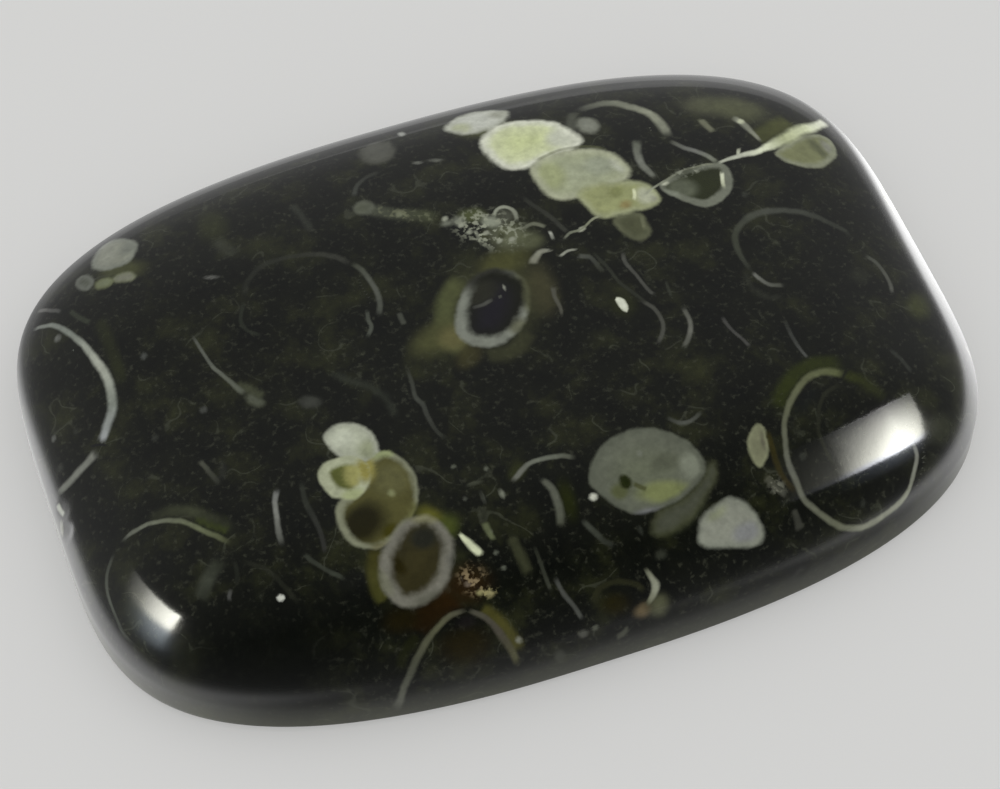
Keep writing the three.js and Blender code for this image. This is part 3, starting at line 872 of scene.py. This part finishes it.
def far_wall(face):
    """Shells that only the side wall meets, out of the photographed view."""
    face.shell(oval((12.0, 18.4), (2.6, 0.9), 3), "#6c705c", "#83876f", 0.2)
    face.shell(oval((-9.5, 18.3), (1.9, 0.8), -4), "#5c604c", "#7b7f69", 0.2)
    face.shell(oval((25.0, 2.5), (1.0, 2.2), 4), "#63674f", "#83876f", 0.2)
    face.line([(-3.5, 17.4), (-2.4, 18.4), (-1.8, 19.3)], 0.3, "#7b7f6b", 0.8)
    face.line([(4.0, 17.6), (3.2, 18.5), (3.0, 19.4)], 0.25, "#6b6f5b", 0.8)
    face.line([(24.2, -7.6), (25.2, -8.6), (26.4, -8.8)], 0.3, "#7b7f6b", 0.8)
    face.line([(18.2, 17.6), (19.0, 18.3), (19.6, 18.6)], 0.3, "#7b7f6b", 0.8)
    face.line([(-18.4, -17.4), (-17.5, -18.4), (-17.3, -19.2)], 0.25, "#6b6f5b", 0.8)


def back_shells(face):
    """The shells met by the flat back, which the photograph doesn't show."""
    face.glow((-10.5, 4.5), (4.5, 3.0), 30, "#4a4e26", 0.8)
    face.glow((8.0, -5.5), (4.0, 2.6), -20, "#4a3c1c", 0.7)
    face.band([(-20.0, -6.0), (-14.0, -10.5), (-6.0, -12.5), (2.0, -13.5)], 1.4, "#2c301c", 0.7)
    face.shell(oval((-13.2, 6.4), (2.4, 1.9), 24), "#8c9174", "#a0a48c", 0.3, core="#858a60")
    face.shell(oval((-10.1, 4.4), (2.3, 1.7), 24), "#2a2b22", "#93977f", 0.35)
    face.shell(oval((-7.2, 2.5), (2.0, 1.5), 24), "#6f7454", "#8e927a", 0.3)
    face.shell(oval((-4.8, 0.9), (1.5, 1.1), 24), "#2a2b22", "#85896f", 0.28)
    face.shell(oval((9.5, 7.8), (3.3, 2.5), -35), "#1f2020", "#83877a", 0.4, uneven=(0.3, 0))
    face.shell(oval((7.0, -5.2), (2.4, 1.7), -15), "#3b3420", "#96967c", 0.4)
    face.shell(oval((10.6, -6.4), (2.0, 1.5), -15), "#57523a", "#9a9a84", 0.34)
    face.shell(oval((13.6, -7.3), (1.5, 1.1), -15), "#8c9088", "#9a9e94", 0.2)
    face.shell(oval((-12.0, -8.6), (1.9, 1.2), 60), "#84887a", "#909484", 0.2)
    face.shell(oval((17.4, 3.2), (1.3, 0.9), 80), "#7c806c", "#8c9080", 0.2)
    face.ring((-15.5, -2.6), (3.8, 3.0), 10, 0.36, "#5d6151", 0.85, start=-40, end=230)
    face.ring((0.8, -9.8), (3.6, 2.8), 40, 0.34, "#6d7159", 0.85, start=20, end=330)
    face.ring((16.8, 8.6), (2.9, 2.3), 0, 0.3, "#4d5143", 0.8, start=100, end=320)
    face.ring((1.2, 9.6), (3.4, 2.4), -20, 0.3, "#4d5143", 0.8, start=0, end=250)
    face.line([(-19.0, 9.0), (-12.0, 11.2), (-5.0, 10.4), (-1.5, 12.4)], 0.26, "#999d85", 0.8)
    face.line([(1.5, 4.6), (2.3, 2.4), (2.0, 0.1)], 0.28, "#61655a", 0.8)
    face.line([(3.6, 2.8), (5.0, 1.5), (5.2, -0.6)], 0.26, "#61655a", 0.8)
    face.line([(-3.5, -4.2), (-2.0, -5.6), (-1.5, -7.4)], 0.28, "#61655a", 0.8)
    face.line([(-8.5, -6.0), (-7.5, -8.4), (-8.2, -11.2)], 0.28, "#71756a", 0.8)
    face.line([(12.5, 0.8), (14.6, -0.4), (15.4, -2.6)], 0.26, "#51554a", 0.8)


def cut_faces(points, back_start):
    """The pattern on the front, which runs on down the wall, and on the back."""
    depth = HEIGHT - points[:back_start, 2]
    front = Slice(points[:back_start, :2] * (1 + SHELL_SPREAD * depth)[:, None],
                  HALF_LENGTH / DOME_CELLS)
    for shells in (centre_left, left_end, lower_left, eye, under_snail, upper_snail, vein, lower_snail,
                   lower_middle, right_end, far_wall):
        shells(front)
    back = Slice(points[back_start:, :2], HALF_LENGTH / BACK_CELLS)
    back_shells(back)
    return front, back


# The worked surface, in mm: its waves, its druzy pockets as middle and radius, and the chips at
# its rim as middle, radius and depth.
POLISH_WAVE = 0.012
POCKET_DEPTH = 0.09
POCKETS = ((2.1, 5.1), 1.5), ((-5.7, -12.6), 1.2)
CHIPS = (
    ((-22.3, -1.1, 3.3), 0.8, 0.07),
    ((-22.2, -2.2, 2.9), 0.6, 0.06),
    ((9.5, -15.9, 2.2), 0.5, 0.08),
    ((20.9, 9.6, 2.4), 0.6, 0.1),
)


def relief(points, back_start):
    """How deep the worked surface lies under the true form: low waves left by hand polishing,
    two druzy pockets with rough floors, and chips at the rim."""
    flat = points[:, :2]
    depth = POLISH_WAVE * (1 + 0.5 * waves(flat, (17, 13, 9, 7.5), 21))
    rough = 0.5 + 0.5 * waves(flat, (0.9, 0.75, 0.62, 0.55, 0.48, 0.41), 22)
    front = np.arange(len(points)) < back_start
    for middle, size in POCKETS:
        share = np.hypot(*(flat - middle).T) / size
        depth += front * POCKET_DEPTH * eased(1 - share) * np.clip(rough, 0, 1)
    for middle, size, fall in CHIPS:
        share = np.linalg.norm(points - middle, axis=1) / size
        depth += fall * eased(1.4 * (1 - share)) * (0.7 + 0.3 * rough)
    return np.maximum(depth, 0)


def set_attribute(mesh, name, kind, field, values):
    """Stores one value a point on the mesh under a name."""
    held = mesh.attributes.new(name, kind, "POINT")
    held.data.foreach_set(field, np.asarray(values, np.float32).ravel())


def make_stone():
    """The cut stone as one mesh, with what its cut faces show held at its points."""
    points, faces, back_start = stone_points_and_faces()
    mesh = bpy.data.meshes.new("polished_stone")
    mesh.from_pydata((points * MM).tolist(), [], faces)
    mesh.shade_smooth()
    normals = np.zeros(len(points) * 3, np.float32)
    mesh.vertex_normals.foreach_get("vector", normals)
    worked = points - normals.reshape(-1, 3) * relief(points, back_start)[:, None]
    worked[:, 2] = np.where(points[:, 2] == 0, 0, worked[:, 2])
    mesh.vertices.foreach_set("co", (worked * MM).ravel())
    mesh.update()

    front, back = cut_faces(points, back_start)
    set_attribute(mesh, "haze", "FLOAT_COLOR", "color", np.concatenate([front.haze, back.haze]))
    set_attribute(mesh, "druzy", "FLOAT_COLOR", "color", np.concatenate([front.druzy, back.druzy]))
    for number in range(SHELL_SHEETS):
        for part, kind, field in (("form", "FLOAT_VECTOR", "vector"), ("heart", "FLOAT_COLOR", "color"),
                                  ("wall", "FLOAT_COLOR", "color")):
            values = np.concatenate([front.shells[number][part], back.shells[number][part]])
            set_attribute(mesh, f"shell_{part}_{number}", kind, field, values)
    for number in range(LINE_SHEETS):
        for part, kind, field in (("form", "FLOAT_VECTOR", "vector"), ("tint", "FLOAT_COLOR", "color")):
            values = np.concatenate([front.lines[number][part], back.lines[number][part]])
            set_attribute(mesh, f"line_{part}_{number}", kind, field, values)
    stone = bpy.data.objects.new("polished_stone", mesh)
    bpy.context.scene.collection.objects.link(stone)
    return stone


def add(tree, kind, settings=None, inputs=None, stops=None):
    """Adds a node, sets its own settings, sets or links its inputs, and sets a ramp's stops."""
    node = tree.nodes.new(kind)
    for name, value in (settings or {}).items():
        setattr(node, name, value)
    for name, value in (inputs or {}).items():
        if isinstance(value, bpy.types.NodeSocket):
            tree.links.new(value, node.inputs[name])
        else:
            node.inputs[name].default_value = value
    for number, (position, colour) in enumerate(stops or []):
        held = node.color_ramp.elements
        stop = held[number] if number < 2 else held.new(1.0)
        stop.position = position
        stop.color = (*colour, 1)
    return node


# Settings that many nodes share.
SMOOTH = {"interpolation_type": "SMOOTHSTEP"}
PRODUCT = {"operation": "MULTIPLY"}
TWO_COLOURS = {"data_type": "RGBA"}

# Inputs and the output of a Mix node that blends colours.
MIX_SHARE, MIX_UNDER, MIX_OVER, MIX_COLOUR = 0, 6, 7, 2


# How strongly quartz bends light.
QUARTZ_INDEX = 1.54


def polished_fossil_jasper():
    """Silica-filled mud full of snail shells, sawn and polished: nearly black between the shells,
    with a glassy skin that mirrors the room."""
    material = bpy.data.materials.new("polished_fossil_jasper")
    material.use_nodes = True
    tree = material.node_tree
    shader = tree.nodes["Principled BSDF"]

    place = add(tree, "ShaderNodeTexCoord").outputs["Object"]
    place = add(tree, "ShaderNodeVectorMath", {"operation": "SCALE"},
                {0: place, "Scale": 1 / MM}).outputs[0]
    height = add(tree, "ShaderNodeSeparateXYZ", None, {0: place}).outputs["Z"]

    # Mud grains a few tenths of a millimetre wide make each edge a little ragged. Scales are
    # counts a millimetre.
    grit = add(tree, "ShaderNodeTexNoise", None,
               {"Vector": place, "Scale": 2.6, "Detail": 3.0}).outputs[0]
    grit = add(tree, "ShaderNodeMath", {"operation": "SUBTRACT"}, {0: grit, 1: 0.5}).outputs[0]
    clouds = add(tree, "ShaderNodeTexNoise", None,
                 {"Vector": place, "Scale": 0.45, "Detail": 6.0, "Roughness": 0.62}).outputs[0]
    grain = add(tree, "ShaderNodeTexNoise", None,
                {"Vector": place, "Scale": 1.6, "Detail": 4.0, "Roughness": 0.6}).outputs[0]
    sparks = add(tree, "ShaderNodeTexNoise", None,
                 {"Vector": place, "Scale": 3.8, "Detail": 2.0}).outputs[0]

    # The dark rock: black with grey-green and olive clouds a few millimetres across.
    colour = add(tree, "ShaderNodeValToRGB", None, {0: clouds}, [
        (0.32, tone("#0b0d0a")), (0.86, tone("#33361d")), (0.5, tone("#11130d")), (0.62, tone("#1a1c13")),
    ]).outputs["Color"]

    # Ground shell, a quarter of a millimetre wide, shows as faint specks.
    specks = add(tree, "ShaderNodeMapRange", SMOOTH,
                 {0: sparks, 1: 0.54, 2: 0.8, 3: 0.0, 4: 0.32}).outputs[0]
    colour = add(tree, "ShaderNodeMix", TWO_COLOURS, {
        MIX_SHARE: specks, MIX_UNDER: colour, MIX_OVER: (*tone("#4c4e40"), 1)}).outputs[MIX_COLOUR]

    # Broken walls of crushed shells, thin as hairs, run through the rock in faint curves.
    hair = add(tree, "ShaderNodeTexNoise", None,
               {"Vector": place, "Scale": 0.4, "Detail": 1.5}).outputs[0]
    hair = add(tree, "ShaderNodeMath", {"operation": "SUBTRACT"}, {0: hair, 1: 0.5}).outputs[0]
    hair = add(tree, "ShaderNodeMath", {"operation": "ABSOLUTE"}, {0: hair}).outputs[0]
    hair = add(tree, "ShaderNodeMapRange", SMOOTH, {0: hair, 1: 0.014, 2: 0.002}).outputs[0]
    whole = add(tree, "ShaderNodeMapRange", SMOOTH,
                {0: clouds, 1: 0.5, 2: 0.6, 3: 0.0, 4: 0.45}).outputs[0]
    hair = add(tree, "ShaderNodeMath", PRODUCT, {0: hair, 1: whole}).outputs[0]
    colour = add(tree, "ShaderNodeMix", TWO_COLOURS, {
        MIX_SHARE: hair, MIX_UNDER: colour, MIX_OVER: (*tone("#45483c"), 1)}).outputs[MIX_COLOUR]

    # Haze is a little thinner between the clouds.
    haze = add(tree, "ShaderNodeAttribute", {"attribute_name": "haze"})
    broken = add(tree, "ShaderNodeMapRange", None,
                 {0: clouds, 1: 0.3, 2: 0.55, 3: 0.8, 4: 1.0}).outputs[0]
    cover = add(tree, "ShaderNodeMath", PRODUCT, {0: haze.outputs["Alpha"], 1: broken})
    colour = add(tree, "ShaderNodeMix", TWO_COLOURS, {
        MIX_SHARE: cover.outputs[0], MIX_UNDER: colour, MIX_OVER: haze.outputs["Color"],
    }).outputs[MIX_COLOUR]

    for number in range(SHELL_SHEETS):
        colour = shell_sheet(tree, number, colour, grit)
    for number in range(LINE_SHEETS):
        colour = line_sheet(tree, number, colour, grit)

    # Quartz crystals a quarter of a millimetre wide half fill the hollows. Their pale spots are partly
    # the crystals' own colour and partly painted glitter.
    druzy = add(tree, "ShaderNodeAttribute", {"attribute_name": "druzy"})
    lit = add(tree, "ShaderNodeMapRange", SMOOTH, {0: sparks, 1: 0.48, 2: 0.64}).outputs[0]
    cover = add(tree, "ShaderNodeMath", PRODUCT, {0: druzy.outputs["Alpha"], 1: lit})
    colour = add(tree, "ShaderNodeMix", TWO_COLOURS, {
        MIX_SHARE: cover.outputs[0], MIX_UNDER: colour, MIX_OVER: druzy.outputs["Color"],
    }).outputs[MIX_COLOUR]

    # The whole face is mottled by its grain.
    mottle = add(tree, "ShaderNodeMapRange", None,
                 {0: grain, 1: 0.3, 2: 0.7, 3: 0.84, 4: 1.12}).outputs[0]
    fine = add(tree, "ShaderNodeMapRange", None, {0: sparks, 1: 0.3, 2: 0.7, 3: 0.94, 4: 1.06}).outputs[0]
    worn = add(tree, "ShaderNodeMath", PRODUCT, {0: mottle, 1: fine}).outputs[0]
    colour = add(tree, "ShaderNodeVectorMath", {"operation": "SCALE"},
                 {0: colour, "Scale": worn}).outputs[0]

    # The foot of the wall is painted lighter towards the bottom. This is partly fine dust on its matt
    # grinding, and partly a painted sheen for the pale floor that it mirrors there.
    dust_and_sheen = add(tree, "ShaderNodeMapRange", SMOOTH,
               {0: height, 1: 0.2, 2: 2.8, 3: 0.26, 4: 0.0}).outputs[0]
    colour = add(tree, "ShaderNodeMix", TWO_COLOURS, {
        MIX_SHARE: dust_and_sheen, MIX_UNDER: colour, MIX_OVER: (*tone("#8c8e7e"), 1)}).outputs[MIX_COLOUR]
    tree.links.new(colour, shader.inputs["Base Color"])

    # The dome is polished to a mirror, and the shoulder and girdle are ever more matt below it.
    shader.inputs["IOR"].default_value = QUARTZ_INDEX
    gloss = add(tree, "ShaderNodeMapRange", SMOOTH,
                {0: height, 1: 1.4, 2: 4.8, 3: 0.5, 4: 0.06}).outputs[0]
    tree.links.new(gloss, shader.inputs["Roughness"])
    bump = add(tree, "ShaderNodeBump", None, {"Strength": 0.04, "Distance": 0.00005, "Height": grain})
    tree.links.new(bump.outputs[0], shader.inputs["Normal"])
    return material


def shell_sheet(tree, number, under, grit):
    """Lays one sheet of cut shells over the colour under it: the wall inside its edge, and the
    heart inside the wall."""
    form = add(tree, "ShaderNodeAttribute", {"attribute_name": f"shell_form_{number}"}).outputs["Vector"]
    parts = add(tree, "ShaderNodeSeparateXYZ", None, {0: form})
    heart = add(tree, "ShaderNodeAttribute", {"attribute_name": f"shell_heart_{number}"})
    wall = add(tree, "ShaderNodeAttribute", {"attribute_name": f"shell_wall_{number}"})
    shares = []
    for part in (0, 1):
        ragged = add(tree, "ShaderNodeMath", {"operation": "MULTIPLY_ADD"},
                     {0: grit, 1: 1.3, 2: parts.outputs[part]})
        shares.append(add(tree, "ShaderNodeMapRange", SMOOTH,
                          {0: ragged.outputs[0], 1: 1.0, 2: -1.0}).outputs[0])
    inside, within = shares
    tint = add(tree, "ShaderNodeMix", TWO_COLOURS, {
        MIX_SHARE: within, MIX_UNDER: wall.outputs["Color"], MIX_OVER: heart.outputs["Color"]})
    solid = add(tree, "ShaderNodeMix", None,
                {0: within, 2: wall.outputs["Alpha"], 3: heart.outputs["Alpha"]})
    cover = add(tree, "ShaderNodeMath", PRODUCT, {0: solid.outputs[0], 1: inside})
    return add(tree, "ShaderNodeMix", TWO_COLOURS, {
        MIX_SHARE: cover.outputs[0], MIX_UNDER: under, MIX_OVER: tint.outputs[MIX_COLOUR],
    }).outputs[MIX_COLOUR]


def line_sheet(tree, number, under, grit):
    """Lays one sheet of thin walls and grains over the colour under it."""
    form = add(tree, "ShaderNodeAttribute", {"attribute_name": f"line_form_{number}"}).outputs["Vector"]
    offset = add(tree, "ShaderNodeSeparateXYZ", None, {0: form}).outputs[0]
    tint = add(tree, "ShaderNodeAttribute", {"attribute_name": f"line_tint_{number}"})
    ragged = add(tree, "ShaderNodeMath", {"operation": "MULTIPLY_ADD"},
                 {0: grit, 1: 0.5, 2: offset}).outputs[0]
    away = add(tree, "ShaderNodeMath", {"operation": "ABSOLUTE"}, {0: ragged}).outputs[0]
    on = add(tree, "ShaderNodeMapRange", SMOOTH, {0: away, 1: FADED, 2: 0.3}).outputs[0]
    cover = add(tree, "ShaderNodeMath", PRODUCT, {0: on, 1: tint.outputs["Alpha"]}).outputs[0]
    return add(tree, "ShaderNodeMix", TWO_COLOURS, {
        MIX_SHARE: cover, MIX_UNDER: under, MIX_OVER: tint.outputs["Color"]}).outputs[MIX_COLOUR]


def grey(level):
    """A light level as a grey."""
    return (level, level, level)


# Half the floor's side, and how far it lies under the stone so that it never coincides with the
# back.
FLOOR_HALF = 1500 * MM
FLOOR_DROP = 0.01 * MM


def make_floor():
    """A plain pale matt sheet a hair under the stone, clear when seen from below. The polished
    stone mirrors it without the stone's own shadow, darker towards the camera and brighter in
    front of both ends."""
    mesh = bpy.data.meshes.new("floor")
    signs = (-1, -1), (1, -1), (1, 1), (-1, 1)
    mesh.from_pydata([(x * FLOOR_HALF, y * FLOOR_HALF, -FLOOR_DROP) for x, y in signs],
                     [], [(0, 1, 2, 3)])
    floor = bpy.data.objects.new("floor", mesh)
    bpy.context.scene.collection.objects.link(floor)
    material = bpy.data.materials.new("matt_card")
    material.use_nodes = True
    tree = material.node_tree
    shader = tree.nodes["Principled BSDF"]
    shader.inputs["Base Color"].default_value = (*tone("#aaaaa9"), 1)
    shader.inputs["Roughness"].default_value = 0.9
    shader.inputs["Specular IOR Level"].default_value = 0.1
    # The card glows a little by itself. This painted light halves the shadow beside the stone.
    shader.inputs["Emission Color"].default_value = (*tone("#fffffe"), 1)
    shader.inputs["Emission Strength"].default_value = 0.32

    place = add(tree, "ShaderNodeTexCoord").outputs["Object"]
    parts = add(tree, "ShaderNodeSeparateXYZ", None, {0: place})

    # Places on the sheet are in metres. The ramp runs from 90 mm in front of the stone's middle
    # to 30 mm behind it, and the light at both ends stops short of the far edge.
    forward = add(tree, "ShaderNodeMapRange", None, {0: parts.outputs["Y"], 1: -0.09, 2: 0.03}).outputs[0]
    level = add(tree, "ShaderNodeValToRGB", None, {0: forward}, [
        (0.0, grey(0.12)), (1.0, grey(0.75)), (0.3, grey(0.2)), (0.57, grey(0.26)),
        (0.62, grey(0.32)), (0.69, grey(0.5))]).outputs["Color"]
    aside = add(tree, "ShaderNodeMath", {"operation": "ABSOLUTE"}, {0: parts.outputs["X"]}).outputs[0]
    brighter = add(tree, "ShaderNodeMapRange", SMOOTH,
                   {0: aside, 1: 0.015, 2: 0.028, 3: 0.0, 4: 6.0}).outputs[0]
    near = add(tree, "ShaderNodeMapRange", SMOOTH,
               {0: parts.outputs["Y"], 1: 0.006, 2: 0.016, 3: 1.0, 4: 0.0}).outputs[0]
    brighter = add(tree, "ShaderNodeMath", {"operation": "MULTIPLY_ADD"}, {0: brighter, 1: near, 2: 1.0})
    level = add(tree, "ShaderNodeMath", PRODUCT, {0: level, 1: brighter.outputs[0]}).outputs[0]
    brighter = add(tree, "ShaderNodeMapRange", SMOOTH,
                   {0: parts.outputs["X"], 1: 0.012, 2: 0.03, 3: 1.0, 4: 1.4}).outputs[0]
    level = add(tree, "ShaderNodeMath", PRODUCT, {0: level, 1: brighter}).outputs[0]
    mirrored = add(tree, "ShaderNodeEmission", None, {"Strength": level}).outputs[0]
    ray = add(tree, "ShaderNodeLightPath").outputs["Is Glossy Ray"]
    mixed = add(tree, "ShaderNodeMixShader", None, {0: ray, 1: shader.outputs[0], 2: mirrored}).outputs[0]
    below = add(tree, "ShaderNodeNewGeometry").outputs["Backfacing"]
    clear = add(tree, "ShaderNodeBsdfTransparent").outputs[0]
    mixed = add(tree, "ShaderNodeMixShader", None, {0: below, 1: mixed, 2: clear}).outputs[0]
    tree.links.new(mixed, tree.nodes["Material Output"].inputs["Surface"])
    mesh.materials.append(material)


def heading(azimuth, elevation):
    """A direction as a unit vector. Azimuth runs clockwise from +Y, seen from above."""
    a, e = math.radians(azimuth), math.radians(elevation)
    return Vector((math.sin(a) * math.cos(e), math.cos(a) * math.cos(e), math.sin(e)))


# The photograph's viewing angle: where the camera looks, from how far, and how long its lens is.
AIM = Vector((0.240, 0.087, 0.0)) * MM
VIEW_AZIMUTH = -20.038
VIEW_ELEVATION = 54.886
VIEW_DISTANCE = 150 * MM
LENS = 109.31
SENSOR = 36.0


def make_camera():
    """The camera stands back from its aim on the line given by the two angles."""
    camera = bpy.data.objects.new("camera", bpy.data.cameras.new("camera"))
    camera.data.lens = LENS
    camera.data.sensor_width = SENSOR
    camera.data.clip_start = 0.01
    back = heading(180 - VIEW_AZIMUTH, VIEW_ELEVATION)
    across = Vector((0, 0, 1)).cross(back).normalized()
    turn = Matrix((across, back.cross(across), back)).transposed()
    camera.matrix_world = Matrix.Translation(AIM + back * VIEW_DISTANCE) @ turn.to_4x4()
    bpy.context.scene.collection.objects.link(camera)
    bpy.context.scene.camera = camera


# The lamps: how far off they stand, in metres, and two colours that they share.
LAMP_DISTANCE = 1.0
PALE = tone("#fffff2")
BLUISH = tone("#2a2e35")


def make_lamp(name, first, second, third, radiance, lengthways, sideways):
    """A soft box facing the stone. Its first edge runs from the first direction to the second,
    and its side from the second to the third. Stops say how bright it is along and across."""
    corners = [heading(*corner) * LAMP_DISTANCE for corner in (first, second, third)]
    middle = (corners[0] + corners[2]) / 2
    out = -middle.normalized()
    along_edge = corners[1] - corners[0]
    along_edge = along_edge - along_edge.dot(out) * out
    width = along_edge.length
    along_edge.normalize()
    away = (-out).cross(along_edge)
    side = corners[2] - corners[1]
    depth = abs(side.dot(away))
    light = bpy.data.lights.new(name, "AREA")
    light.shape = "RECTANGLE"
    light.size = width
    light.size_y = depth
    light.energy = radiance * math.pi * width * depth
    light.use_nodes = True
    tree = light.node_tree
    spot = add(tree, "ShaderNodeNewGeometry").outputs["Parametric"]
    parts = add(tree, "ShaderNodeSeparateXYZ", None, {0: spot})
    across = parts.outputs[1]
    if side.dot(away) < 0:
        across = add(tree, "ShaderNodeMath", {"operation": "SUBTRACT"}, {0: 1.0, 1: across}).outputs[0]
    length_ramp = add(tree, "ShaderNodeValToRGB", None,
                      {0: parts.outputs[0]}, lengthways).outputs["Color"]
    side_ramp = add(tree, "ShaderNodeValToRGB", None, {0: across}, sideways).outputs["Color"]
    both = add(tree, "ShaderNodeVectorMath", PRODUCT, {0: length_ramp, 1: side_ramp})
    tree.links.new(both.outputs[0], tree.nodes["Emission"].inputs["Color"])
    lamp = bpy.data.objects.new(name, light)
    turn = Matrix((along_edge, away, -out)).transposed()
    lamp.matrix_world = Matrix.Translation(middle) @ turn.to_4x4()
    lamp.visible_camera = False
    lamp.visible_diffuse = False
    bpy.context.scene.collection.objects.link(lamp)


def make_room():
    """The room: even soft light on everything matt, and for the polished stone a bright far
    side low down, dim above and dark behind the camera."""
    world = bpy.data.worlds.new("room")
    bpy.context.scene.world = world
    world.use_nodes = True
    tree = world.node_tree
    way = add(tree, "ShaderNodeTexCoord").outputs["Generated"]
    parts = add(tree, "ShaderNodeSeparateXYZ", None, {0: way})
    far = add(tree, "ShaderNodeMapRange", None, {0: parts.outputs["Y"], 1: -0.3, 2: 0.35})
    far_side = add(tree, "ShaderNodeValToRGB", None, {0: parts.outputs["Z"]}, [
        (0.0, grey(0.4)), (1.0, grey(0.12)), (0.12, grey(0.4)), (0.26, grey(0.36)), (0.6, grey(0.32)),
        (0.8, grey(0.2))]).outputs["Color"]
    near_side = add(tree, "ShaderNodeValToRGB", None, {0: parts.outputs["Z"]}, [
        (0.0, grey(0.2)), (1.0, grey(0.01)), (0.2, grey(0.12)), (0.6, grey(0.01))]).outputs["Color"]
    seen = add(tree, "ShaderNodeMix", TWO_COLOURS, {
        MIX_SHARE: far.outputs[0], MIX_UNDER: near_side, MIX_OVER: far_side}).outputs[MIX_COLOUR]
    ray = add(tree, "ShaderNodeLightPath").outputs["Is Glossy Ray"]
    mixed = add(tree, "ShaderNodeMix", TWO_COLOURS, {
        MIX_SHARE: ray, MIX_UNDER: (*tone("#eaeae9"), 1), MIX_OVER: seen}).outputs[MIX_COLOUR]
    tree.links.new(mixed, tree.nodes["Background"].inputs["Color"])


make_camera()
make_floor()
stone = make_stone()
stone.data.materials.append(polished_fossil_jasper())
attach(stone, "root")
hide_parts("cabochon")
make_lamp("left_lamp", (-59, 40), (-86, 55), (-100, 29), 28,
          [(0.0, grey(0.0)), (1.0, grey(1.0)), (0.3, grey(0.12)), (0.6, grey(0.5)), (0.8, grey(1.0))],
          [(0.0, PALE), (1.0, BLUISH), (0.28, PALE), (0.42, tone("#81898e")),
           (0.68, tone("#50595d"))])
make_lamp("right_lamp", (140, 46), (114, 24.6), (82, 42), 36,
          [(0.0, grey(0.0)), (1.0, grey(0.4)), (0.25, grey(0.03)), (0.5, grey(0.5)), (0.7, grey(1.0)),
           (0.92, grey(1.0))],
          [(0.0, grey(0.004)), (1.0, grey(0.08)), (0.27, BLUISH), (0.31, tone("#f3f6ff")), (0.4, PALE),
           (0.78, grey(0.75))])
make_room()
bpy.context.scene.view_settings.view_transform = "Standard"
